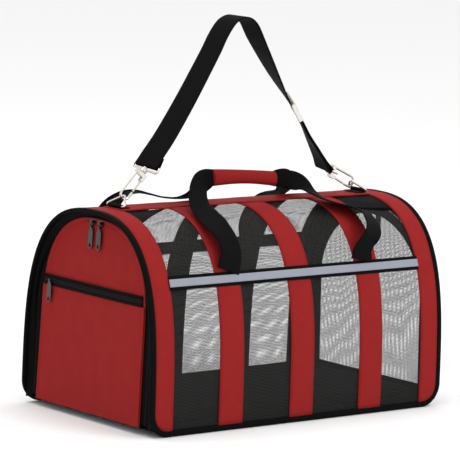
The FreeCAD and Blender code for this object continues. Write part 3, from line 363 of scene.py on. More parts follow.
def stitches(name, path, normals, pitch, length, thick, material, body):
    """A row of small thread stitches lying on a surface along a path."""
    step = np.linalg.norm(np.diff(path, axis=0), axis=1)
    along = np.concatenate([[0], np.cumsum(step)])
    centres = np.arange(pitch, along[-1] - pitch / 2, pitch)
    points, faces = [], []
    for centre in centres:
        spot = np.array([np.interp(centre, along, path[:, k]) for k in range(3)])
        ahead = np.array([np.interp(centre + 0.5, along, path[:, k]) for k in range(3)])
        normal = unit(np.array([np.interp(centre, along, normals[:, k]) for k in range(3)]))
        direction = unit(ahead - spot)
        side = np.cross(normal, direction)
        base = len(points)
        for a, s, n in ((-0.5, 0, 0), (0, -0.5, 0.1), (0, 0, 0.5), (0, 0.5, 0.1), (0.5, 0, 0)):
            points.append(spot + direction * a * length + side * s * thick + normal * n * thick)
        faces += [(base, base + 1, base + 2), (base, base + 2, base + 3),
                  (base + 4, base + 2, base + 1), (base + 4, base + 3, base + 2),
                  (base, base + 3, base + 4, base + 1)]
    uvs = np.zeros((len(points), 2))
    return add_mesh(name, points, faces, uvs, [material], body)


def crease(position, scale, seed):
    """Smooth random height between about -1 and 1."""
    return noise.noise(Vector((position[0] / scale, position[1] / scale, seed)))


# ---------------------------------------------------------------- the arch
def arch_point(angle, inward=0.0):
    """Point (y, z) and outward normal (y, z) on the arch, moved inward along the normal."""
    cosine = math.cos(angle)
    sine = max(math.sin(angle), 0.0)
    y = -math.copysign(HALF_WIDTH * abs(cosine) ** (2 / WIDTH_POWER), cosine)
    z = HEIGHT * sine ** (2 / HEIGHT_POWER)
    slope_y = math.copysign((abs(y) / HALF_WIDTH) ** (WIDTH_POWER - 1), y) * WIDTH_POWER / HALF_WIDTH
    slope_z = HEIGHT_POWER / HEIGHT * (z / HEIGHT) ** (HEIGHT_POWER - 1)
    length = math.hypot(slope_y, slope_z)
    slope_y, slope_z = slope_y / length, slope_z / length
    return y - inward * slope_y, z - inward * slope_z, slope_y, slope_z


def angle_at_height(z):
    return math.asin((z / HEIGHT) ** (HEIGHT_POWER / 2))


def angle_at_width(y):
    return math.acos((y / HALF_WIDTH) ** (WIDTH_POWER / 2))


def arch_angles(start, end, count):
    """Angles whose points are evenly spaced along the arch."""
    fine = np.linspace(start, end, 600)
    points = np.array([arch_point(a)[:2] for a in fine])
    length = np.concatenate([[0], np.cumsum(np.linalg.norm(np.diff(points, axis=0), axis=1))])
    return np.interp(np.linspace(0, length[-1], count), length, fine)


def arch_grid(columns_x, angles, depth):
    """Grid of points over the arch; depth(x, angle) is how far inside the arch each lies."""
    grid = np.zeros((len(angles), len(columns_x), 3))
    for r, angle in enumerate(angles):
        for c, x in enumerate(columns_x):
            y, z, _, _ = arch_point(angle, depth(x, angle))
            grid[r, c] = (x, y, z)
    return grid


def arch_slab(name, low, high, start, end, outer, thickness, materials, rows=120,
              columns=9, pillow=0.5, waviness=0.25, seed=0.0):
    """A strip over the arch, a little fuller in the middle than at its stitched edges."""
    xs = np.linspace(low, high, columns)
    middle, half = (low + high) / 2, (high - low) / 2
    angles = arch_angles(start, end, rows)

    def depth(x, angle):
        share = abs(x - middle) / half
        lift = pillow * (1 - share ** 4)
        lift += waviness * crease((x, angle * 160), 38, seed)
        return outer - lift

    top = arch_grid(xs, angles, depth)
    bottom = arch_grid(xs, angles, lambda x, angle: depth(x, angle) + thickness)
    return add_slab(name, top, bottom, materials, "carrier")


def inset_level(x, inset):
    """Lowest height inside the side wall's rounded lower corners at x."""
    over = abs(x) - (HALF_LENGTH - CORNER_RADIUS)
    radius = CORNER_RADIUS - inset
    if over <= 0:
        return inset
    return CORNER_RADIUS - math.sqrt(max(radius ** 2 - over ** 2, 0.0))


def cornered_slab(name, low, high, outer, thickness, materials, rows=120, columns=9,
                  pillow=0.5, seed=0.0, inset=7.0):
    """A band over the arch whose lower ends follow the wall's rounded corners."""
    xs = np.linspace(low, high, columns)
    middle, half = (low + high) / 2, (high - low) / 2
    top = np.zeros((rows, columns, 3))
    bottom = np.zeros((rows, columns, 3))
    for c, x in enumerate(xs):
        foot = angle_at_height(inset_level(x, inset))
        for r, angle in enumerate(arch_angles(foot, math.pi - foot, rows)):
            share = abs(x - middle) / half
            depth = outer - pillow * (1 - share ** 4) - 0.25 * crease((x, angle * 160), 38, seed)
            y, z, _, _ = arch_point(angle, depth)
            top[r, c] = (x, y, z)
            y, z, _, _ = arch_point(angle, depth + thickness)
            bottom[r, c] = (x, y, z)
    return add_slab(name, top, bottom, materials, "carrier")


def over_arch(x, start, end, depth, count=260):
    """Path over the arch at x with its outward normals."""
    points, normals = [], []
    for angle in arch_angles(start, end, count):
        y, z, ny, nz = arch_point(angle, depth)
        points.append((x, y, z))
        normals.append((0, ny, nz))
    return np.array(points), np.array(normals)


# ---------------------------------------------------------------- tunnel wall
FOOT = angle_at_height(BINDING_WIDTH - 0.5)

for side, suffix in ((-1, "left"), (1, "right")):
    low, high = sorted((side * BAND_INNER, side * (HALF_LENGTH - BINDING_WIDTH + 1)))
    band = cornered_slab(f"{suffix}_end_band_cloth", low, high, 0.6, CLOTH, [RED, BLACK],
                         seed=3.0 + side)
    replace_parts(band, f"{suffix}_end_band")
    for index, x in enumerate((side * (BAND_INNER + 2.2), side * (HALF_LENGTH - BINDING_WIDTH - 2.5))):
        foot = angle_at_height(inset_level(x, 9))
        path, normals = over_arch(x, foot, math.pi - foot, 0.35)
        stitches(f"{suffix}_band_stitch_{index}", path, normals, 3.0, 2.3, 0.55, THREAD,
                 "carrier")

for number, (low, high) in enumerate(RIBS, start=1):
    rib = arch_slab(f"rib_{number}_cloth", low, high, FOOT, math.pi - FOOT, 0.7, CLOTH,
                    [RED, BLACK], seed=7.0 * number)
    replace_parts(rib, f"rib_strap_{number}")
    for index, x in enumerate((low + 2.0, high - 2.0)):
        path, normals = over_arch(x, FOOT, math.pi - FOOT, 0.5)
        stitches(f"rib_{number}_stitch_{index}", path, normals, 3.0, 2.3, 0.5, THREAD,
                 "carrier")

spine_start = angle_at_width(SPINE_HALF)
spine = arch_slab("top_spine_cloth", -BAND_INNER - 2, BAND_INNER + 2, spine_start,
                  math.pi - spine_start, -0.6, 1.5, [RED, BLACK],
                  rows=13, columns=140, pillow=0.0, waviness=0.9, seed=21.0)
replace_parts(spine, "top_spine")
for sign in (-1, 1):
    angle = math.pi / 2 - sign * (math.pi / 2 - angle_at_width(SPINE_HALF - 2))
    points = [(x, *arch_point(angle, -0.9)[:2]) for x in np.linspace(-BAND_INNER, BAND_INNER, 100)]
    normals = [(0, *arch_point(angle)[2:])] * 100
    stitches(f"spine_stitch_{'front' if sign < 0 else 'back'}", np.array(points), np.array(normals),
             3.0, 2.3, 0.5, THREAD, "carrier")


def net_wall(name, node, start, end):
    """Netting over one side of the arch, slack between the straps that hold it."""
    held = sorted([x for rib in RIBS for x in rib] + [-BAND_INNER, BAND_INNER])
    half = HALF_LENGTH - BINDING_WIDTH + 1
    xs = np.linspace(-half, half, 117)
    rows = 64
    grid = np.zeros((rows, len(xs), 3))
    for c, x in enumerate(xs):
        low_angle = angle_at_height(inset_level(x, 7))
        if end > math.pi / 2:
            angles = arch_angles(start, math.pi - low_angle, rows)
        else:
            angles = arch_angles(low_angle, end, rows)
        gap = min(abs(x - h) for h in held)
        inside = not any(a - 1 < x < b + 1 for a, b in RIBS) and abs(x) < BAND_INNER
        slack = min(gap / 14, 1.0) if inside else 0.0
        for r, angle in enumerate(angles):
            height = math.sin(angle)
            sag = 1.3 * slack * height + 0.8 * slack * crease((x, angle * 160), 30, 5.0)
            y, z, _, _ = arch_point(angle, 2.6 + sag)
            grid[r, c] = (x, y, z)
    wall = add_sheet(name, grid, [NET], "carrier")
    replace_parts(wall, node)


ridge = angle_at_width(8)
net_wall("front_net", "front_mesh_wall", 0, ridge)
net_wall("back_net", "back_mesh_wall", math.pi - ridge, math.pi)


# ---------------------------------------------------------------- edge binding
def rim_path(side):
    """Middle line of the rim's binding from the front lower corner over the arch to the back."""
    points, normals = [], []
    radius = CORNER_RADIUS - BINDING_WIDTH / 2
    turn_x = HALF_LENGTH - CORNER_RADIUS

    def add(x, angle):
        y, z, ny, nz = arch_point(angle, BINDING_DEPTH / 2)
        points.append((side * x, y, z))
        normals.append((0, ny, nz))

    corner_steps = np.linspace(0, math.pi / 2, 14)
    for step in corner_steps:
        add(turn_x + radius * math.sin(step), angle_at_height(CORNER_RADIUS - radius * math.cos(step)))
    spring = angle_at_height(CORNER_RADIUS)
    for angle in arch_angles(spring, math.pi - spring, 170)[1:-1]:
        add(turn_x + radius, angle)
    for step in corner_steps[::-1]:
        add(turn_x + radius * math.sin(step),
            math.pi - angle_at_height(CORNER_RADIUS - radius * math.cos(step)))
    return np.array(points), np.array(normals)


for side, suffix in ((-1, "left"), (1, "right")):
    path, normals = rim_path(side)
    tangent = unit(np.gradient(path, axis=0))
    across = np.cross(tangent, normals)
    rim = sweep(f"{suffix}_rim_cloth", path, across, round_profile(BINDING_WIDTH + 0.6,
                BINDING_DEPTH + 0.6, 16, 3.2), [BLACK], "carrier")
    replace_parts(rim, f"{suffix}_rim_binding")
    line = path + normals * (BINDING_DEPTH / 2 + 0.25) + unit(across) * 2.4 * (
        1 if np.dot(across[80], (-side, 0, 0)) > 0 else -1)
    stitches(f"{suffix}_rim_stitch", line, normals, 3.0, 2.2, 0.5, BLACK_THREAD,
             "carrier")

turn_x = HALF_LENGTH - CORNER_RADIUS
for back in (False, True):
    angle = angle_at_height(BINDING_WIDTH / 2)
    angle = math.pi - angle if back else angle
    xs = np.linspace(-turn_x, turn_x, 90)
    y, z, ny, nz = arch_point(angle, BINDING_DEPTH / 2)
    path = np.array([(x, y + 0.5 * crease((x, 0), 60, 2.0), z) for x in xs])
    across = np.repeat([(0.0, -nz, ny)], len(xs), axis=0)
    name = "back_bottom_binding" if back else "front_bottom_binding"
    piece = sweep(name, path, across, round_profile(BINDING_WIDTH, BINDING_DEPTH + 0.6, 16, 3.2),
                  [BLACK], "carrier")
    if not back:
        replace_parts(piece, "bottom_bindings")

# ---------------------------------------------------------------- reflective strips
for side in ("front", "back"):
    for kind, half, outer, material, slot, thick in (
            ("strip_backing", 8.5, -0.7, WEB, "black_webbing", 1.6),
            ("reflective_tape", 4.6, -1.3, TAPE, "reflective_tape", 0.5)):
        start = angle_at_height(STRIP_LEVEL - half)
        end = angle_at_height(STRIP_LEVEL + half)
        if side == "back":
            start, end = math.pi - end, math.pi - start
        strip = arch_slab(f"{side}_{kind}_cloth", -BAND_INNER - 1, BAND_INNER + 1, start, end,
                          outer, thick, [material], rows=7, columns=150, pillow=0.0,
                          waviness=0.45, seed=11.0)
        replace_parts(strip, f"{side}_{kind}")

# Plain corners beside the spine: a triangle in the left end bays, a taller piece in the right.
def corner_cloth(name, low, high, low_reach, high_reach, side, seed):
    """Cloth from the spine's edge down to a straight hem; reaches are the hem's |y| at both ends."""
    xs = np.linspace(low, high, 24)
    outer = np.zeros((14, len(xs), 3))
    inner = outer.copy()
    for c, x in enumerate(xs):
        hem = low_reach + (high_reach - low_reach) * (x - low) / (high - low)
        for r, y in enumerate(np.linspace(SPINE_HALF - 1, max(hem, SPINE_HALF - 0.5), 14)):
            angle = angle_at_width(y)
            depth = 1.6 + 0.6 * crease((x, y), 30, seed)
            for grid, level in ((outer, depth), (inner, depth + 0.8)):
                py, pz, _, _ = arch_point(angle, level)
                grid[r, c] = (x, -side * py, pz)
    if side < 0:
        outer, inner = outer[:, ::-1], inner[:, ::-1]
    return add_slab(name, outer[::-1], inner[::-1], [BLACK], "carrier")


corners = []
for side, suffix in ((-1, "front"), (1, "back")):
    corners.append(corner_cloth(f"left_corner_{suffix}", -BAND_INNER - 1, -RIBS[2][1], 61,
                                SPINE_HALF - 1, -side, 31.0))
    corners.append(corner_cloth(f"right_corner_{suffix}", RIBS[2][1] - 1, BAND_INNER + 1, 58, 68,
                                -side, 35.0))
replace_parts(corners[0], "top_corner_panels")


# ---------------------------------------------------------------- doors
def door_matrix(side):
    """From a door's own frame (seam on Y, leaf up Z, outside -X) to the row frame, in mm."""
    turn = Matrix.Rotation(0 if side < 0 else math.pi, 4, "Z")
    return (Matrix.Translation((side * HINGE_REACH, 0, HINGE_LEVEL)) @ turn
            @ Matrix.Rotation(LEAN, 4, "Y"))


def place(points, side):
    matrix = np.array(door_matrix(side))
    points = np.asarray(points, float)
    return points @ matrix[:3, :3].T + matrix[:3, 3]


LEAF_POWER = 2.5


def leaf_half(v, half, top):
    """Half width of a leaf with straight sides and a squarish round top at height v."""
    if v <= SPRING:
        return half
    return half * max(1 - ((v - SPRING) / (top - SPRING)) ** LEAF_POWER, 0.0) ** (1 / LEAF_POWER)


def leaf_grid(half, top, low, high, rows, out):
    """Grid over a leaf; out(y, v, edge) is how far outward each point stands."""
    inner = np.linspace(-1, 1, 45)
    hem = np.array([0.0, 0.8, 2.6, 3.6, 4.4, 6.0])
    if high >= top:
        spread = np.concatenate([np.linspace(low, SPRING, rows // 2, endpoint=False),
                                 SPRING + (top - SPRING) * np.sin(np.linspace(0, math.pi / 2,
                                                                              rows // 2))])
        spread[-1] = top - 0.05
    else:
        spread = np.linspace(low, high, rows)
    grid = []
    for v in spread:
        width = leaf_half(v, half, top)
        margin = np.minimum(hem, width * 0.3 * hem / hem[-1] + 1e-3)
        reach = width - margin[-1]
        ys = np.concatenate([-width + margin, inner[1:-1] * reach, (width - margin)[::-1]])
        row = []
        for y in ys:
            edge = min(width - abs(y), v - low, abs(high - v) if high < top else 1e9)
            if v > SPRING:
                reached = (abs(y / half) ** LEAF_POWER
                           + ((v - SPRING) / (top - SPRING)) ** LEAF_POWER) ** (1 / LEAF_POWER)
                edge = min(edge, (1 - reached) * min(half, top - SPRING))
            row.append((-out(y, v, edge), y, v))
        grid.append(row)
    return np.array(grid)


def hem_height(edge):
    """Folded hem: raised next to the edge, with a stitched groove behind it."""
    raised = 0.7 * (1 - min(max((edge - 2.8) / 1.2, 0), 1))
    groove = -0.35 * math.exp(-((edge - 4.2) / 0.8) ** 2)
    roll = -0.6 * (1 - min(edge / 1.0, 1))
    return raised + groove + roll


def door_leaf(name, side, half, top, low, high, rows, base, amount, seed, material, body,
              thickness=0.9, bulge=1.5, flare=0.0):
    def out(y, v, edge):
        folds = amount * crease((y * 1.6, v * 0.45), 26, seed)
        folds += amount * 0.5 * crease((y, v), 60, seed + 4)
        belly = bulge * min(edge / 45, 1) ** 0.7 if edge > 0 else 0
        return base + hem_height(edge) + folds * min(max(edge, 0) / 12, 1) + belly

    outer = leaf_grid(half, top, low, high, rows, out)
    spread = np.clip(1 - outer[..., 2] / SPRING, 0, 1) * np.clip(outer[..., 1] / half, 0, 1)
    outer[..., 1] += flare * spread
    inner = outer.copy()
    inner[..., 0] += thickness
    # rows run upward and columns along +Y, so the outer side faces local -X after a flip
    return add_slab(name, place(outer[:, ::-1].reshape(-1, 3), side).reshape(outer.shape),
                    place(inner[:, ::-1].reshape(-1, 3), side).reshape(outer.shape),
                    material, body)


FLAP_HALF = PANEL_HALF + 1.5
FLAP_TOP = SPRING + TRACK + 4.5
upper = door_leaf("left_door_cloth", -1, FLAP_HALF, FLAP_TOP, 0.4, FLAP_TOP, 120, 1.3, 0.7, 41.0,
                  [RED, BLACK], "left_door", flare=3.0)
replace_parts(upper, "left_door_panel")
pocket = door_leaf("pocket_cloth", -1, FLAP_HALF - 0.5, FLAP_TOP, 0.2, ZIP_LEVEL - ZIP_HALF, 90,
                   2.9, 0.8, 47.0, [RED, BLACK], "left_door", thickness=0.8, bulge=2.0,
                   flare=3.0)
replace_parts(pocket, "pocket_panel")


def track_path(radius, count=200, foot=4.0):
    """Path up the side, round the arch and down again in the door's frame."""
    points = [(0, -radius, v) for v in np.linspace(foot, SPRING, 40, endpoint=False)]
    points += [(0, -radius * math.cos(a), SPRING + radius * math.sin(a))
               for a in np.linspace(0, math.pi, count)]
    points += [(0, radius, v) for v in np.linspace(SPRING, foot, 41)[1:]]
    return np.array(points, float)


def outward_along(path):
    """Unit vectors in the door's plane pointing away from the leaf's middle."""
    tangent = unit(np.gradient(path, axis=0))
    return np.cross(tangent, (1.0, 0.0, 0.0))


def place_vectors(vectors, side):
    return vectors @ np.array(door_matrix(side))[:3, :3].T


def zip_half(name, side, low, high, coil, body, node, sunk=0.0):
    """One side of a door zip: tape between two radii and the coil's turns along its edge.

    A coil under a cloth flap lies sunk towards the inside.
    """
    middle = (low + high) / 2
    path = track_path(middle)
    across = place_vectors(outward_along(path), side)
    tape = sweep(f"{name}_tape", place(path, side), across, flat_profile(high - low, 0.8), [BLACK],
                 body)
    line = track_path(coil) + (sunk, 0, 0)
    turns = place(line, side)
    sweep(f"{name}_coil", turns, place_vectors(outward_along(line), side),
          round_profile(2.6, 1.9, 10), [BLACK_THREAD], body)
    outward = np.repeat([place_vectors(np.array([[-1.0, 0, 0]]), side)[0]], len(turns), axis=0)
    stitches(f"{name}_teeth", turns + outward * 0.7, place_vectors(outward_along(line), side),
             1.6, 1.0, 2.6, BLACK_THREAD, body)
    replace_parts(tape, node)


for side, suffix in ((-1, "left"), (1, "right")):
    zip_half(f"{suffix}_door_zip_half", side, TRACK - 14, TRACK - 2, TRACK - 1.25, f"{suffix}_door",
             f"{suffix}_door_zip", sunk=1.0)
    zip_half(f"{suffix}_shell_zip_half", side, TRACK + 1.6, TRACK + 6.5, TRACK + 1.25, "carrier",
             f"{suffix}_shell_zip")

# Pocket zip: two tapes with the coils meeting in the middle.
zip_length = PANEL_HALF - 3
for sign in (-1, 1):
    ys = np.linspace(-zip_length, zip_length, 80)
    centre = [(-3.3 - 2.0 * min((zip_length - abs(y)) / 45, 1) ** 0.7, y,
               ZIP_LEVEL + sign * 3.6) for y in ys]
    path = place(np.array(centre), -1)
    up = place_vectors(np.repeat([(0.0, 0.0, 1.0)], len(ys), axis=0), -1)
    tape = sweep(f"pocket_zip_tape_{'upper' if sign > 0 else 'lower'}", path, up,
                 flat_profile(6.4, 0.8), [BLACK], "left_door")
    coil = place(np.array(centre) + (-0.5, 0, -sign * 2.3), -1)
    sweep(f"pocket_zip_coil_{'upper' if sign > 0 else 'lower'}", coil, up,
          round_profile(2.4, 1.7, 10), [BLACK_THREAD], "left_door")
    if sign < 0:
        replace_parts(tape, "pocket_zip")

# Right door: a bound cloth frame around netting.
BORDER = 7.0


def frame_ring(name, side, outer_half, outer_top, border, low, base, thickness):
    """A flat cloth frame round a leaf's edge."""
    def loop(inset):
        half, top = outer_half - inset, outer_top - inset
        foot = low + 2 * inset
        points = [(0, y, foot) for y in np.linspace(-half, half, 30, endpoint=False)]
        points += [(0, half, v) for v in np.linspace(foot, SPRING, 30, endpoint=False)]
        points += [(0, math.copysign(half * abs(math.cos(a)) ** (2 / LEAF_POWER), math.cos(a)),
                    SPRING + (top - SPRING) * math.sin(a) ** (2 / LEAF_POWER))
                   for a in np.linspace(0, math.pi, 90, endpoint=False)]
        points += [(0, -half, v) for v in np.linspace(SPRING, foot, 30, endpoint=False)]
        return np.array(points, float)

    profile = [(0, -0.2), (0.8, 0.9), (border / 2 - 1, 1.0), (border / 2, 0.5),
               (border / 2 + 1, 1.0), (border - 0.8, 0.9), (border, -0.2),
               (border - 1, -thickness), (1, -thickness)]
    rings = np.array([loop(inset) + np.array([-(base + lift), 0, 0]) for inset, lift in profile])
    rings = rings.transpose(1, 0, 2)
    rows, columns = rings.shape[:2]
    faces = [(r * columns + c, r * columns + (c + 1) % columns,
              (r + 1) % rows * columns + (c + 1) % columns, (r + 1) % rows * columns + c)
             for r in range(rows) for c in range(columns)]
    uvs = rings[..., 1:].reshape(-1, 2)
    return add_mesh(name, place(rings.reshape(-1, 3), side), faces, uvs, [BLACK],
                    "right_door")


ring = frame_ring("right_door_border", 1, FLAP_HALF, FLAP_TOP, BORDER, 0.4, 0.4, 0.9)
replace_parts(ring, "right_door_frame")
NET_SEAM = 2.6
net_leaf = leaf_grid(FLAP_HALF - BORDER + NET_SEAM, FLAP_TOP - BORDER + NET_SEAM,
                     2 * BORDER - NET_SEAM, FLAP_TOP - BORDER + NET_SEAM, 60,
                     lambda y, v, edge: 0.2 + 2.0 * min(max(edge, 0) / 40, 1)
                     + 1.2 * crease((y, v), 34, 61.0) * min(max(edge, 0) / 20, 1))
net_piece = add_sheet("right_door_net", place(net_leaf.reshape(-1, 3), 1).reshape(net_leaf.shape),
                      [NET], "right_door")
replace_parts(net_piece, "right_door_mesh")


# ---------------------------------------------------------------- gussets
GUSSET_TRACK = TRACK + 6.5


def gusset(side):
    """Black cloth folded in from a rim to the shell's half of the door zip."""
    rows, columns = 150, 13
    outer = np.zeros((rows, columns, 3))
    low = angle_at_height(8)
    inner_edge = []
    outer_edge = []
    for angle in arch_angles(low, math.pi - low, rows):
        y, z, _, _ = arch_point(angle, BINDING_DEPTH - 0.3)
        outer_edge.append((side * (HALF_LENGTH - 5), y, z))
        level = SPRING + HINGE_LEVEL
        if z > level:
            reach = math.hypot(y, z - level)
            local = (0.0, y / reach * GUSSET_TRACK, SPRING + (z - level) / reach * GUSSET_TRACK)
        else:
            local = (0.0, math.copysign(GUSSET_TRACK, y), z - HINGE_LEVEL)
        local = (local[0], local[1] * -side, local[2])
        inner_edge.append(place(np.array([local]), side)[0])
    outer_edge, inner_edge = np.array(outer_edge), np.array(inner_edge)
    for c, share in enumerate(np.linspace(0, 1, columns)):
        outer[:, c] = outer_edge * (1 - share) + inner_edge * share
    inward = np.zeros((rows, 3))
    centre = np.array([0, 0, HINGE_LEVEL + SPRING * 0.8])
    away = outer.mean(axis=1) - centre
    away[:, 0] = 0
    inward = -unit(away)
    for r in range(rows):
        for c in range(columns):
            share = c / (columns - 1)
            fold = 1.4 * math.sin(math.pi * share)
            fold += 0.9 * crease((r * 2.5, c * 3.0), 40, 71.0 + side) * math.sin(math.pi * share)
            outer[r, c] += inward[r] * max(fold, -0.5)
    back = outer - inward[:, None] * 0.9
    grids = (outer, back) if side > 0 else (outer[:, ::-1], back[:, ::-1])
    name = "right_gusset" if side > 0 else "left_gusset"
    piece = add_slab(f"{name}_cloth", grids[0], grids[1], [BLACK], "carrier")
    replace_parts(piece, name)


gusset(-1)
gusset(1)


# ---------------------------------------------------------------- floor
def padded_block(name, low, high, divisions, rounding):
    """A rounded block between two corners in mm, ready to be inflated."""
    size = np.array(high) - np.array(low)
    bpy.ops.mesh.primitive_cube_add(size=1)
    block = bpy.context.object
    block.name = name
    block.data.transform(Matrix.Diagonal((*(size * MM), 1)))
    block.data.transform(Matrix.Translation(Vector((np.array(low) + np.array(high)) / 2 * MM)))
    bevel = block.modifiers.new("round", "BEVEL")
    bevel.width = rounding * MM
    bevel.segments = 3
    remesh = block.modifiers.new("cells", "REMESH")
    remesh.mode = "VOXEL"
    remesh.voxel_size = divisions * MM
    bake_modifiers(block)
    return block


def bake_modifiers(obj):
    """Keeps the evaluated shape as the mesh."""
    graph = bpy.context.evaluated_depsgraph_get()
    mesh = bpy.data.meshes.new_from_object(obj.evaluated_get(graph))
    obj.modifiers.clear()
    obj.data = mesh


def finish_soft(obj, material, body):
    """Material, smooth shading and flat coordinates for a simulated piece."""
    mesh = obj.data
    mesh.materials.clear()
    mesh.materials.append(material)
    points = np.zeros(len(mesh.vertices) * 3, np.float32)
    mesh.vertices.foreach_get("co", points)
    points = points.reshape(-1, 3) / MM
    vertex = np.zeros(len(mesh.loops), np.int32)
    mesh.loops.foreach_get("vertex_index", vertex)
    layer = mesh.uv_layers.new(name="UVMap")
    flat = np.column_stack([points[:, 0], points[:, 1] + points[:, 2]])
    layer.data.foreach_set("uv", flat[vertex].astype(np.float32).ravel())
    mesh.polygons.foreach_set("use_smooth", [True] * len(mesh.polygons))
    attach(obj, body)


def inflate(obj, pinned, pressure, limit):
    """Fills a closed cloth for a few frames; pinned(x, y, z) is how firmly a point is held."""
    start = np.array([v.co for v in obj.data.vertices])
    group = obj.vertex_groups.new(name="held")
    for index, point in enumerate(start / MM):
        group.add([index], float(min(max(pinned(*point), 0.0), 1.0)), "REPLACE")
    cloth = obj.modifiers.new("cloth", "CLOTH")
    cloth.settings.use_pressure = True
    cloth.settings.uniform_pressure_force = pressure
    cloth.settings.vertex_group_mass = "held"
    cloth.settings.quality = 6
    cloth.settings.tension_stiffness = 12
    cloth.settings.bending_stiffness = 0.4
    cloth.settings.effector_weights.gravity = 0
    cloth.point_cache.frame_start = 1
    cloth.point_cache.frame_end = 20
    for step in range(1, 21):
        bpy.context.scene.frame_set(step)
    graph = bpy.context.evaluated_depsgraph_get()
    mesh = bpy.data.meshes.new_from_object(obj.evaluated_get(graph))
    obj.modifiers.clear()
    moved = np.array([v.co for v in mesh.vertices]) - start
    size = np.linalg.norm(moved, axis=1, keepdims=True)
    moved *= np.minimum(1, limit * MM / np.maximum(size, 1e-9))
    mesh.vertices.foreach_set("co", (start + moved).ravel())
    obj.data = mesh
    bpy.context.scene.frame_set(1)


mat_low, mat_high = corner("floor_mat", False), corner("floor_mat", True)
mat = padded_block("floor_mat_pad", mat_low, mat_high, 5.0, 3.5)
inflate(mat, lambda x, y, z: 1.0 if z < mat_low.z + 2 else 0.0, 2.0, 3.0)
finish_soft(mat, FLEECE, "carrier")
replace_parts(mat, "floor_mat")

# ---------------------------------------------------------------- handles
WEB_THICK = 2.0


def webbing(name, stations, count, body, width_scale=1.0, thickness=WEB_THICK):
    """A webbing strip through stations of (x, y, z, width x, width y, width z, width)."""
    data = smooth_curve(stations, count)
    path, across, widths = data[:, :3], unit(data[:, 3:6]), data[:, 6]
    tangent = unit(np.gradient(path, axis=0))
    across = unit(across - tangent * np.sum(across * tangent, axis=1, keepdims=True))
    out = unit(np.cross(across, tangent))
    profile = np.array(flat_profile(1.0, 1.0, 0.03))
    rings = (path[:, None] + across[:, None] * profile[None, :, :1] * widths[:, None, None]
             + out[:, None] * profile[None, :, 1:] * thickness)
    rows, columns = rings.shape[:2]
    faces = [(r * columns + c, (r + 1) * columns + c, (r + 1) * columns + (c + 1) % columns,
              r * columns + (c + 1) % columns) for r in range(rows - 1) for c in range(columns)]
    faces.append(tuple(range(columns)))
    faces.append(tuple(range((rows - 1) * columns, rows * columns))[::-1])
    along = np.concatenate([[0], np.cumsum(np.linalg.norm(np.diff(path, axis=0), axis=1))])
    uvs = np.zeros((rows, columns, 2))
    uvs[..., 0] = profile[None, :, 0] * WEBBING
    uvs[..., 1] = along[:, None]
    return add_mesh(name, rings.reshape(-1, 3), faces, uvs.reshape(-1, 2), [WEB],
                    body)


RIB_FRONT = (RIBS[0][0] + RIBS[0][1]) / 2
RIB_BACK = (RIBS[2][0] + RIBS[2][1]) / 2
PIVOT = (RIBS[1][0] + RIBS[1][1]) / 2
# Routes of the handle legs, from the foot up to the grip. A row is the centre, the direction of
# the webbing's width and the width. Most rows come from a separate script that fitted the legs to
# the real bag's outline; the rows at the feet and at the grip were set by hand.
STEEP = [
    (RIB_FRONT + 1, -118.6, 199, 1, 0.03, -0.03, 37),
    (RIB_FRONT + 6, -117, 212, 1, 0.04, -0.06, 36),
    (RIB_FRONT + 11, -114, 225, 0.98, 0.19, -0.05, 36),
    (RIB_FRONT + 6, -105, 243, 0.98, 0.19, 0.06, 36),
    (RIB_FRONT, -92, 256, 0.96, 0.18, 0.23, 36),
    (RIB_FRONT + 5, -65, 263, 0.90, 0.34, 0.26, 36),
    (RIB_FRONT + 9, -45, 274, 0.87, 0.48, 0.10, 36),
    (RIB_FRONT + 21, -28, 286, 0.92, 0.38, -0.07, 34),
    (RIB_FRONT + 34, -14, 296, 0.86, 0.15, -0.48, 30),
    (RIB_FRONT + 47, -6, 301, 0.42, -0.19, -0.89, 25),
    (GRIP_LOW.x + 2, -3, 300, -0.03, -0.16, -0.99, 20),
]
LOOPING = [
    (RIB_BACK - 9, -118.6, 199, -1, -0.06, 0.03, 37),
    (RIB_BACK - 8, -117, 213, -1, -0.10, 0, 36),
    (RIB_BACK, -120, 222, -0.95, -0.26, 0.14, 36),
    (RIB_BACK + 7, -120, 231, -0.93, -0.32, 0.17, 36),
    (RIB_BACK + 14, -115, 240, -0.92, -0.34, 0.17, 36),
    (RIB_BACK + 21, -102, 249, -0.86, -0.49, 0.15, 36),
    (RIB_BACK + 22, -86, 257, -0.74, -0.66, 0.13, 36),
    (RIB_BACK + 14, -76, 260, -0.64, -0.76, 0.12, 36),
    (RIB_BACK - 4, -61, 265, -0.62, -0.77, 0.14, 36),
    (RIB_BACK - 21, -50, 270, -0.60, -0.80, 0.11, 36),
    (RIB_BACK - 28, -38, 277, -0.50, -0.86, -0.12, 35),
    (RIB_BACK - 33, -24, 287, -0.22, -0.81, -0.55, 33),
    (RIB_BACK - 42, -12, 293, -0.08, -0.59, -0.80, 27),
    (RIB_BACK - 54, -4, 293, -0.04, -0.25, -0.97, 21),
    (GRIP_HIGH.x - 6, -3, 293, -0.03, -0.1, -0.99, 19),
]
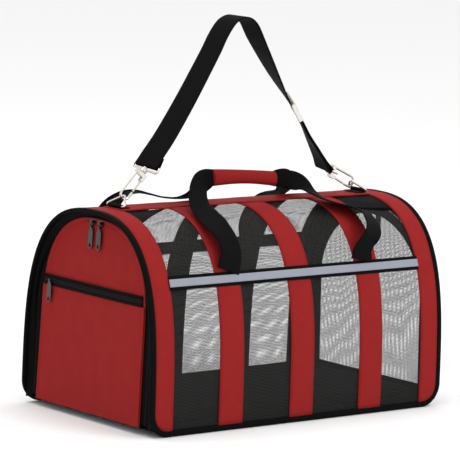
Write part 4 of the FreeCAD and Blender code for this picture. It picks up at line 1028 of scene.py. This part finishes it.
BACK_LOOPING = [
    (RIB_FRONT + 8, 118.6, 199, 1, 0.05, 0, 37),
    (RIB_FRONT + 6, 119, 214, 1, 0.1, 0, 36),
    (RIB_FRONT - 1, 122, 226, 0.97, 0.2, -0.05, 36),
    (RIB_FRONT - 12, 119, 238, 0.97, 0.22, -0.1, 36),
    (RIB_FRONT - 21, 107, 249, 0.97, 0.22, -0.12, 36),
    (RIB_FRONT - 26, 94, 258, 0.95, 0.3, -0.16, 36),
    (RIB_FRONT - 27, 81, 269, 0.84, 0.46, -0.29, 36),
    (RIB_FRONT - 19, 70, 276, 0.66, 0.68, -0.33, 36),
    (RIB_FRONT - 10, 60, 279, 0.65, 0.74, -0.19, 36),
    (RIB_FRONT + 2, 51, 275, 0.62, 0.77, -0.16, 36),
    (RIB_FRONT + 17, 40, 270, 0.62, 0.77, -0.14, 36),
    (RIB_FRONT + 34, 30, 269.5, 0.62, 0.77, -0.14, 36),
    (RIB_FRONT + 47, 20, 274, 0.6, 0.75, -0.3, 34),
    (RIB_FRONT + 54, 11, 284, 0.4, 0.5, -0.75, 28),
    (RIB_FRONT + 60, 5, 294, 0.1, 0.2, -0.97, 22),
    (GRIP_LOW.x + 2, 3.2, 300, 0, 0, -1, 19),
]


GRIP_SLOPE = 7.0


def turned(leg, end_x):
    """The same leg half a turn round the middle rib's upright, ending at the grip's lower end."""
    other = []
    for x, y, z, wx, wy, wz, w in leg:
        share = min(max((z - 260) / 40, 0), 1)
        other.append((2 * PIVOT - x, -y, z - GRIP_SLOPE * share, -wx, -wy, wz, w))
    other[-1] = (end_x, *other[-1][1:])
    return other


def eased(stations):
    """Stations with each inner one moved halfway towards the middle of its neighbours."""
    rows = np.array(stations, float)
    rows[1:-1] = (rows[:-2] + 2 * rows[1:-1] + rows[2:]) / 4
    return [tuple(row) for row in rows]


def handle_leg(name, stations):
    """A leg that follows the grip at its upper end and the shell below."""
    leg = webbing(name, eased(stations), 130, None)
    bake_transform(leg)
    return leg


front_steep = handle_leg("front_handle_steep", STEEP)
handle_leg("front_handle_loop", LOOPING)
handle_leg("back_handle_loop", BACK_LOOPING)
back_steep = handle_leg("back_handle_steep", turned(STEEP, GRIP_HIGH.x - 2))
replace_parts(front_steep, "front_handle_webbing")
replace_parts(back_steep, "back_handle_webbing")

# ---------------------------------------------------------------- shoulder strap
LEFT_BAR = np.array((-152.3, 0, 320.1))
RIGHT_BAR = np.array((140.9, 0, 303.9))
LEFT_ALONG = unit(np.array((0.542, 0, 0.840)))
RIGHT_ALONG = unit(np.array((-0.568, 0, 0.823)))
BAR_RADIUS = 1.9
LAYER_OFFSET = WEB_THICK * 0.56
FOLD_CLOSING = 15
FOLD_TWIST_RUN = 60
LEFT_TWIST = math.radians(-10)
RIGHT_TWIST = math.radians(29)
LOOP_TWIST = math.radians(10)


def strap_width(along, twist):
    """Unit vector across the webbing, turned from -Y about the strap's direction."""
    across = np.array((0.0, -1.0, 0.0))
    return across * math.cos(twist) + np.cross(across, along) * math.sin(twist)


def strap_fold(bar, along, twist, far_twist, length):
    """Stations of webbing that comes down to a loop's bar, round it and up again."""
    bar_width = strap_width(along, twist)
    bar_normal = unit(np.cross(bar_width, along))
    radius = BAR_RADIUS + WEB_THICK / 2
    layers = []
    for side in (-1, 1):
        layer = []
        for distance in np.linspace(length, 2, max(int(length / 7), 4)):
            closing = max(0, 1 - distance / FOLD_CLOSING) ** 1.5
            gap = LAYER_OFFSET + (radius - LAYER_OFFSET) * closing
            twisted = min(distance / FOLD_TWIST_RUN, 1)
            width = strap_width(along, twist + (far_twist - twist) * twisted)
            normal = unit(np.cross(width, along))
            layer.append((*(bar + along * distance + normal * side * gap), *width, WEBBING))
        layers.append(layer)
    fold = []
    for turn in np.linspace(0, math.pi, 9)[1:-1]:
        centre = bar - bar_normal * (radius * math.cos(turn)) - along * (radius * math.sin(turn))
        fold.append((*centre, *bar_width, WEBBING))
    return layers[0] + fold + layers[1][::-1]


STRAP_START_X = -149
STRAP_TOP_X = -16
TURN_START_X = 12
TURN_RUN = 62
LOWER_LENGTH = 92
# Middle line of the strap, X and Z; converted from the real bag's outline by a separate script.
STRAP_LINE = [(-125, 358), (-95, 402), (-60, 458), (-47, 481), (-36, 496), (-27, 503), (-16, 506),
              (-5, 503.5), (4, 496), (11, 485), (17, 475), (35, 448), (53, 422), (71, 398)]
strap_stations = strap_fold(LEFT_BAR, LEFT_ALONG, LEFT_TWIST, LEFT_TWIST, 14)
for x, z in STRAP_LINE:
    share = (x - STRAP_START_X) / (STRAP_TOP_X - STRAP_START_X)
    if share <= 1:
        width = strap_width(LEFT_ALONG, LEFT_TWIST * (1 - share))
    else:
        turned_share = min(max((x - TURN_START_X) / TURN_RUN, 0), 1)
        width = strap_width(RIGHT_ALONG, RIGHT_TWIST * turned_share ** 1.3)
    strap_stations.append((x, 0, z, *width, WEBBING))
lower_end = RIGHT_BAR + RIGHT_ALONG * (LOWER_LENGTH + 2)
strap_stations.append((*lower_end, *strap_width(RIGHT_ALONG, RIGHT_TWIST), WEBBING))
strap = webbing("strap_webbing", strap_stations, 520, "strap")
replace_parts(strap, "shoulder_strap")
loop_stations = strap_fold(RIGHT_BAR, RIGHT_ALONG, LOOP_TWIST, RIGHT_TWIST, LOWER_LENGTH)
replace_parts(webbing("strap_lower_webbing", loop_stations, 300, "strap"), "strap_lower_loop")
for index, shift in enumerate((-15.5, 15.5)):
    width = strap_width(LEFT_ALONG, LEFT_TWIST)
    normal = unit(np.cross(width, LEFT_ALONG))
    for face in (-1, 1):
        path = np.array([LEFT_BAR + LEFT_ALONG * d + width * shift + normal * face * 2.15
                         for d in (7, 10, 13)])
        stitches(f"strap_stitch_{index}_{'in' if face < 0 else 'out'}", path,
                 np.repeat([normal * face], 3, axis=0), 2.4, 1.8, 0.5, BLACK_THREAD,
                 "strap")

# ---------------------------------------------------------------- grip
def grip_mesh():
    """Padded wrap: an upright oval tube, saddle-backed underneath, open at both ends."""
    rows, columns = 44, 28
    xs = np.linspace(GRIP_LOW.x, GRIP_HIGH.x - 3, rows)
    span = GRIP_HIGH.x - GRIP_LOW.x
    rings = np.zeros((rows, columns, 3))
    for r, x in enumerate(xs):
        share = (x - GRIP_LOW.x) / span
        top = 310 - 7.5 * share ** 1.2
        bottom = 288 + 3.5 * math.sin(math.pi * min(share, 1)) - 5 * share
        half_height, middle = (top - bottom) / 2, (top + bottom) / 2
        half_width = 9.0
        for c in range(columns):
            angle = 2 * math.pi * c / columns
            cy, sz = math.cos(angle), math.sin(angle)
            rings[r, c] = (x, math.copysign(abs(cy) ** 0.8, cy) * half_width,
                           middle + math.copysign(abs(sz) ** 0.8, sz) * half_height)
    faces = [(r * columns + c, r * columns + (c + 1) % columns,
              (r + 1) * columns + (c + 1) % columns, (r + 1) * columns + c)
             for r in range(rows - 1) for c in range(columns)]
    faces.append(tuple(range(columns))[::-1])
    faces.append(tuple(range((rows - 1) * columns, rows * columns)))
    mesh = bpy.data.meshes.new("grip_cloth")
    mesh.from_pydata([tuple(p * MM) for p in rings.reshape(-1, 3)], [], faces)
    mesh.update()
    grip = bpy.data.objects.new("grip_cloth", mesh)
    bpy.context.scene.collection.objects.link(grip)
    return grip


grip = grip_mesh()
inflate(grip, lambda x, y, z: 1.0 - min(abs(x - GRIP_LOW.x), abs(GRIP_HIGH.x - x)) / 4, 4.0, 2.5)
finish_soft(grip, RED, "grip")
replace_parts(grip, "grip_wrap", "grip_core")

# ---------------------------------------------------------------- hardware keeps its CAD shapes
CAD_FINISH = {
    NICKEL: ["left_d_ring", "right_d_ring", "left_snap_hook", "right_snap_hook", "left_hook_gate",
             "right_hook_gate", "left_swivel_loop", "right_swivel_loop", "strap_adjuster"],
    DARK_NICKEL: ["left_zip_slider_a", "left_zip_slider_b", "left_zip_link_a", "left_zip_link_b",
                  "left_pull_tab_a", "left_pull_tab_b", "right_zip_slider_a", "right_zip_slider_b",
                  "right_zip_pull_a", "right_zip_pull_b", "pocket_zip_slider", "pocket_pull_tab"],
    BLACK: ["bottom_panel", "base_board", "left_hoop_spring", "right_hoop_spring"],
    WEB: ["d_ring_tabs"],
}
for material, names in CAD_FINISH.items():
    for name in names:
        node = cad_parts[name]
        if not node.material_slots:
            continue
        for item in node.material_slots:
            item.link = "OBJECT"
            item.material = material

# ---------------------------------------------------------------- camera, floor and light
RIGHT = Vector((0.779524, -0.625173, 0.038748))
UP = Vector((0.057691, 0.133258, 0.989401))
camera_data = bpy.data.cameras.new("camera")
camera_data.sensor_width = 36
camera_data.lens = 275.6
camera_data.shift_x = 0.0017
camera_data.shift_y = -0.0039
camera_data.clip_end = 60
camera = bpy.data.objects.new("camera", camera_data)
rotation = Matrix((RIGHT, UP, RIGHT.cross(UP))).transposed().to_4x4()
camera.matrix_world = Matrix.Translation((-2.852913, -3.497947, 0.868190)) @ rotation
bpy.context.scene.collection.objects.link(camera)
bpy.context.scene.camera = camera

white, nodes, links, shader = new_material("studio_white")
shader.inputs["Base Color"].default_value = (0.9, 0.9, 0.9, 1)
shader.inputs["Roughness"].default_value = 0.9
bpy.ops.mesh.primitive_plane_add(size=40, location=(0, 0, -0.0005))
floor = bpy.context.object
floor.name = "studio_floor"
floor.data.materials.append(white)


def area_light(name, location, target, size, power):
    data = bpy.data.lights.new(name, "AREA")
    data.size = size
    data.energy = power
    light = bpy.data.objects.new(name, data)
    light.location = location
    light.rotation_euler = (Vector(target) - Vector(location)).to_track_quat("-Z", "Y").to_euler()
    bpy.context.scene.collection.objects.link(light)


area_light("key", (1.2, -2.8, 2.6), (0, 0, 0.15), 1.8, 36)
area_light("top", (-0.3, 0.4, 3.0), (0, 0, 0.2), 2.0, 30)
area_light("fill", (-3.0, -1.2, 1.2), (0, 0, 0.15), 1.8, 3)
world = bpy.data.worlds.new("studio")
bpy.context.scene.world = world
world.use_nodes = True
background = world.node_tree.nodes["Background"]
background.inputs["Color"].default_value = (1, 1, 1, 1)
background.inputs["Strength"].default_value = 1.0
bpy.context.scene.view_settings.view_transform = "Standard"
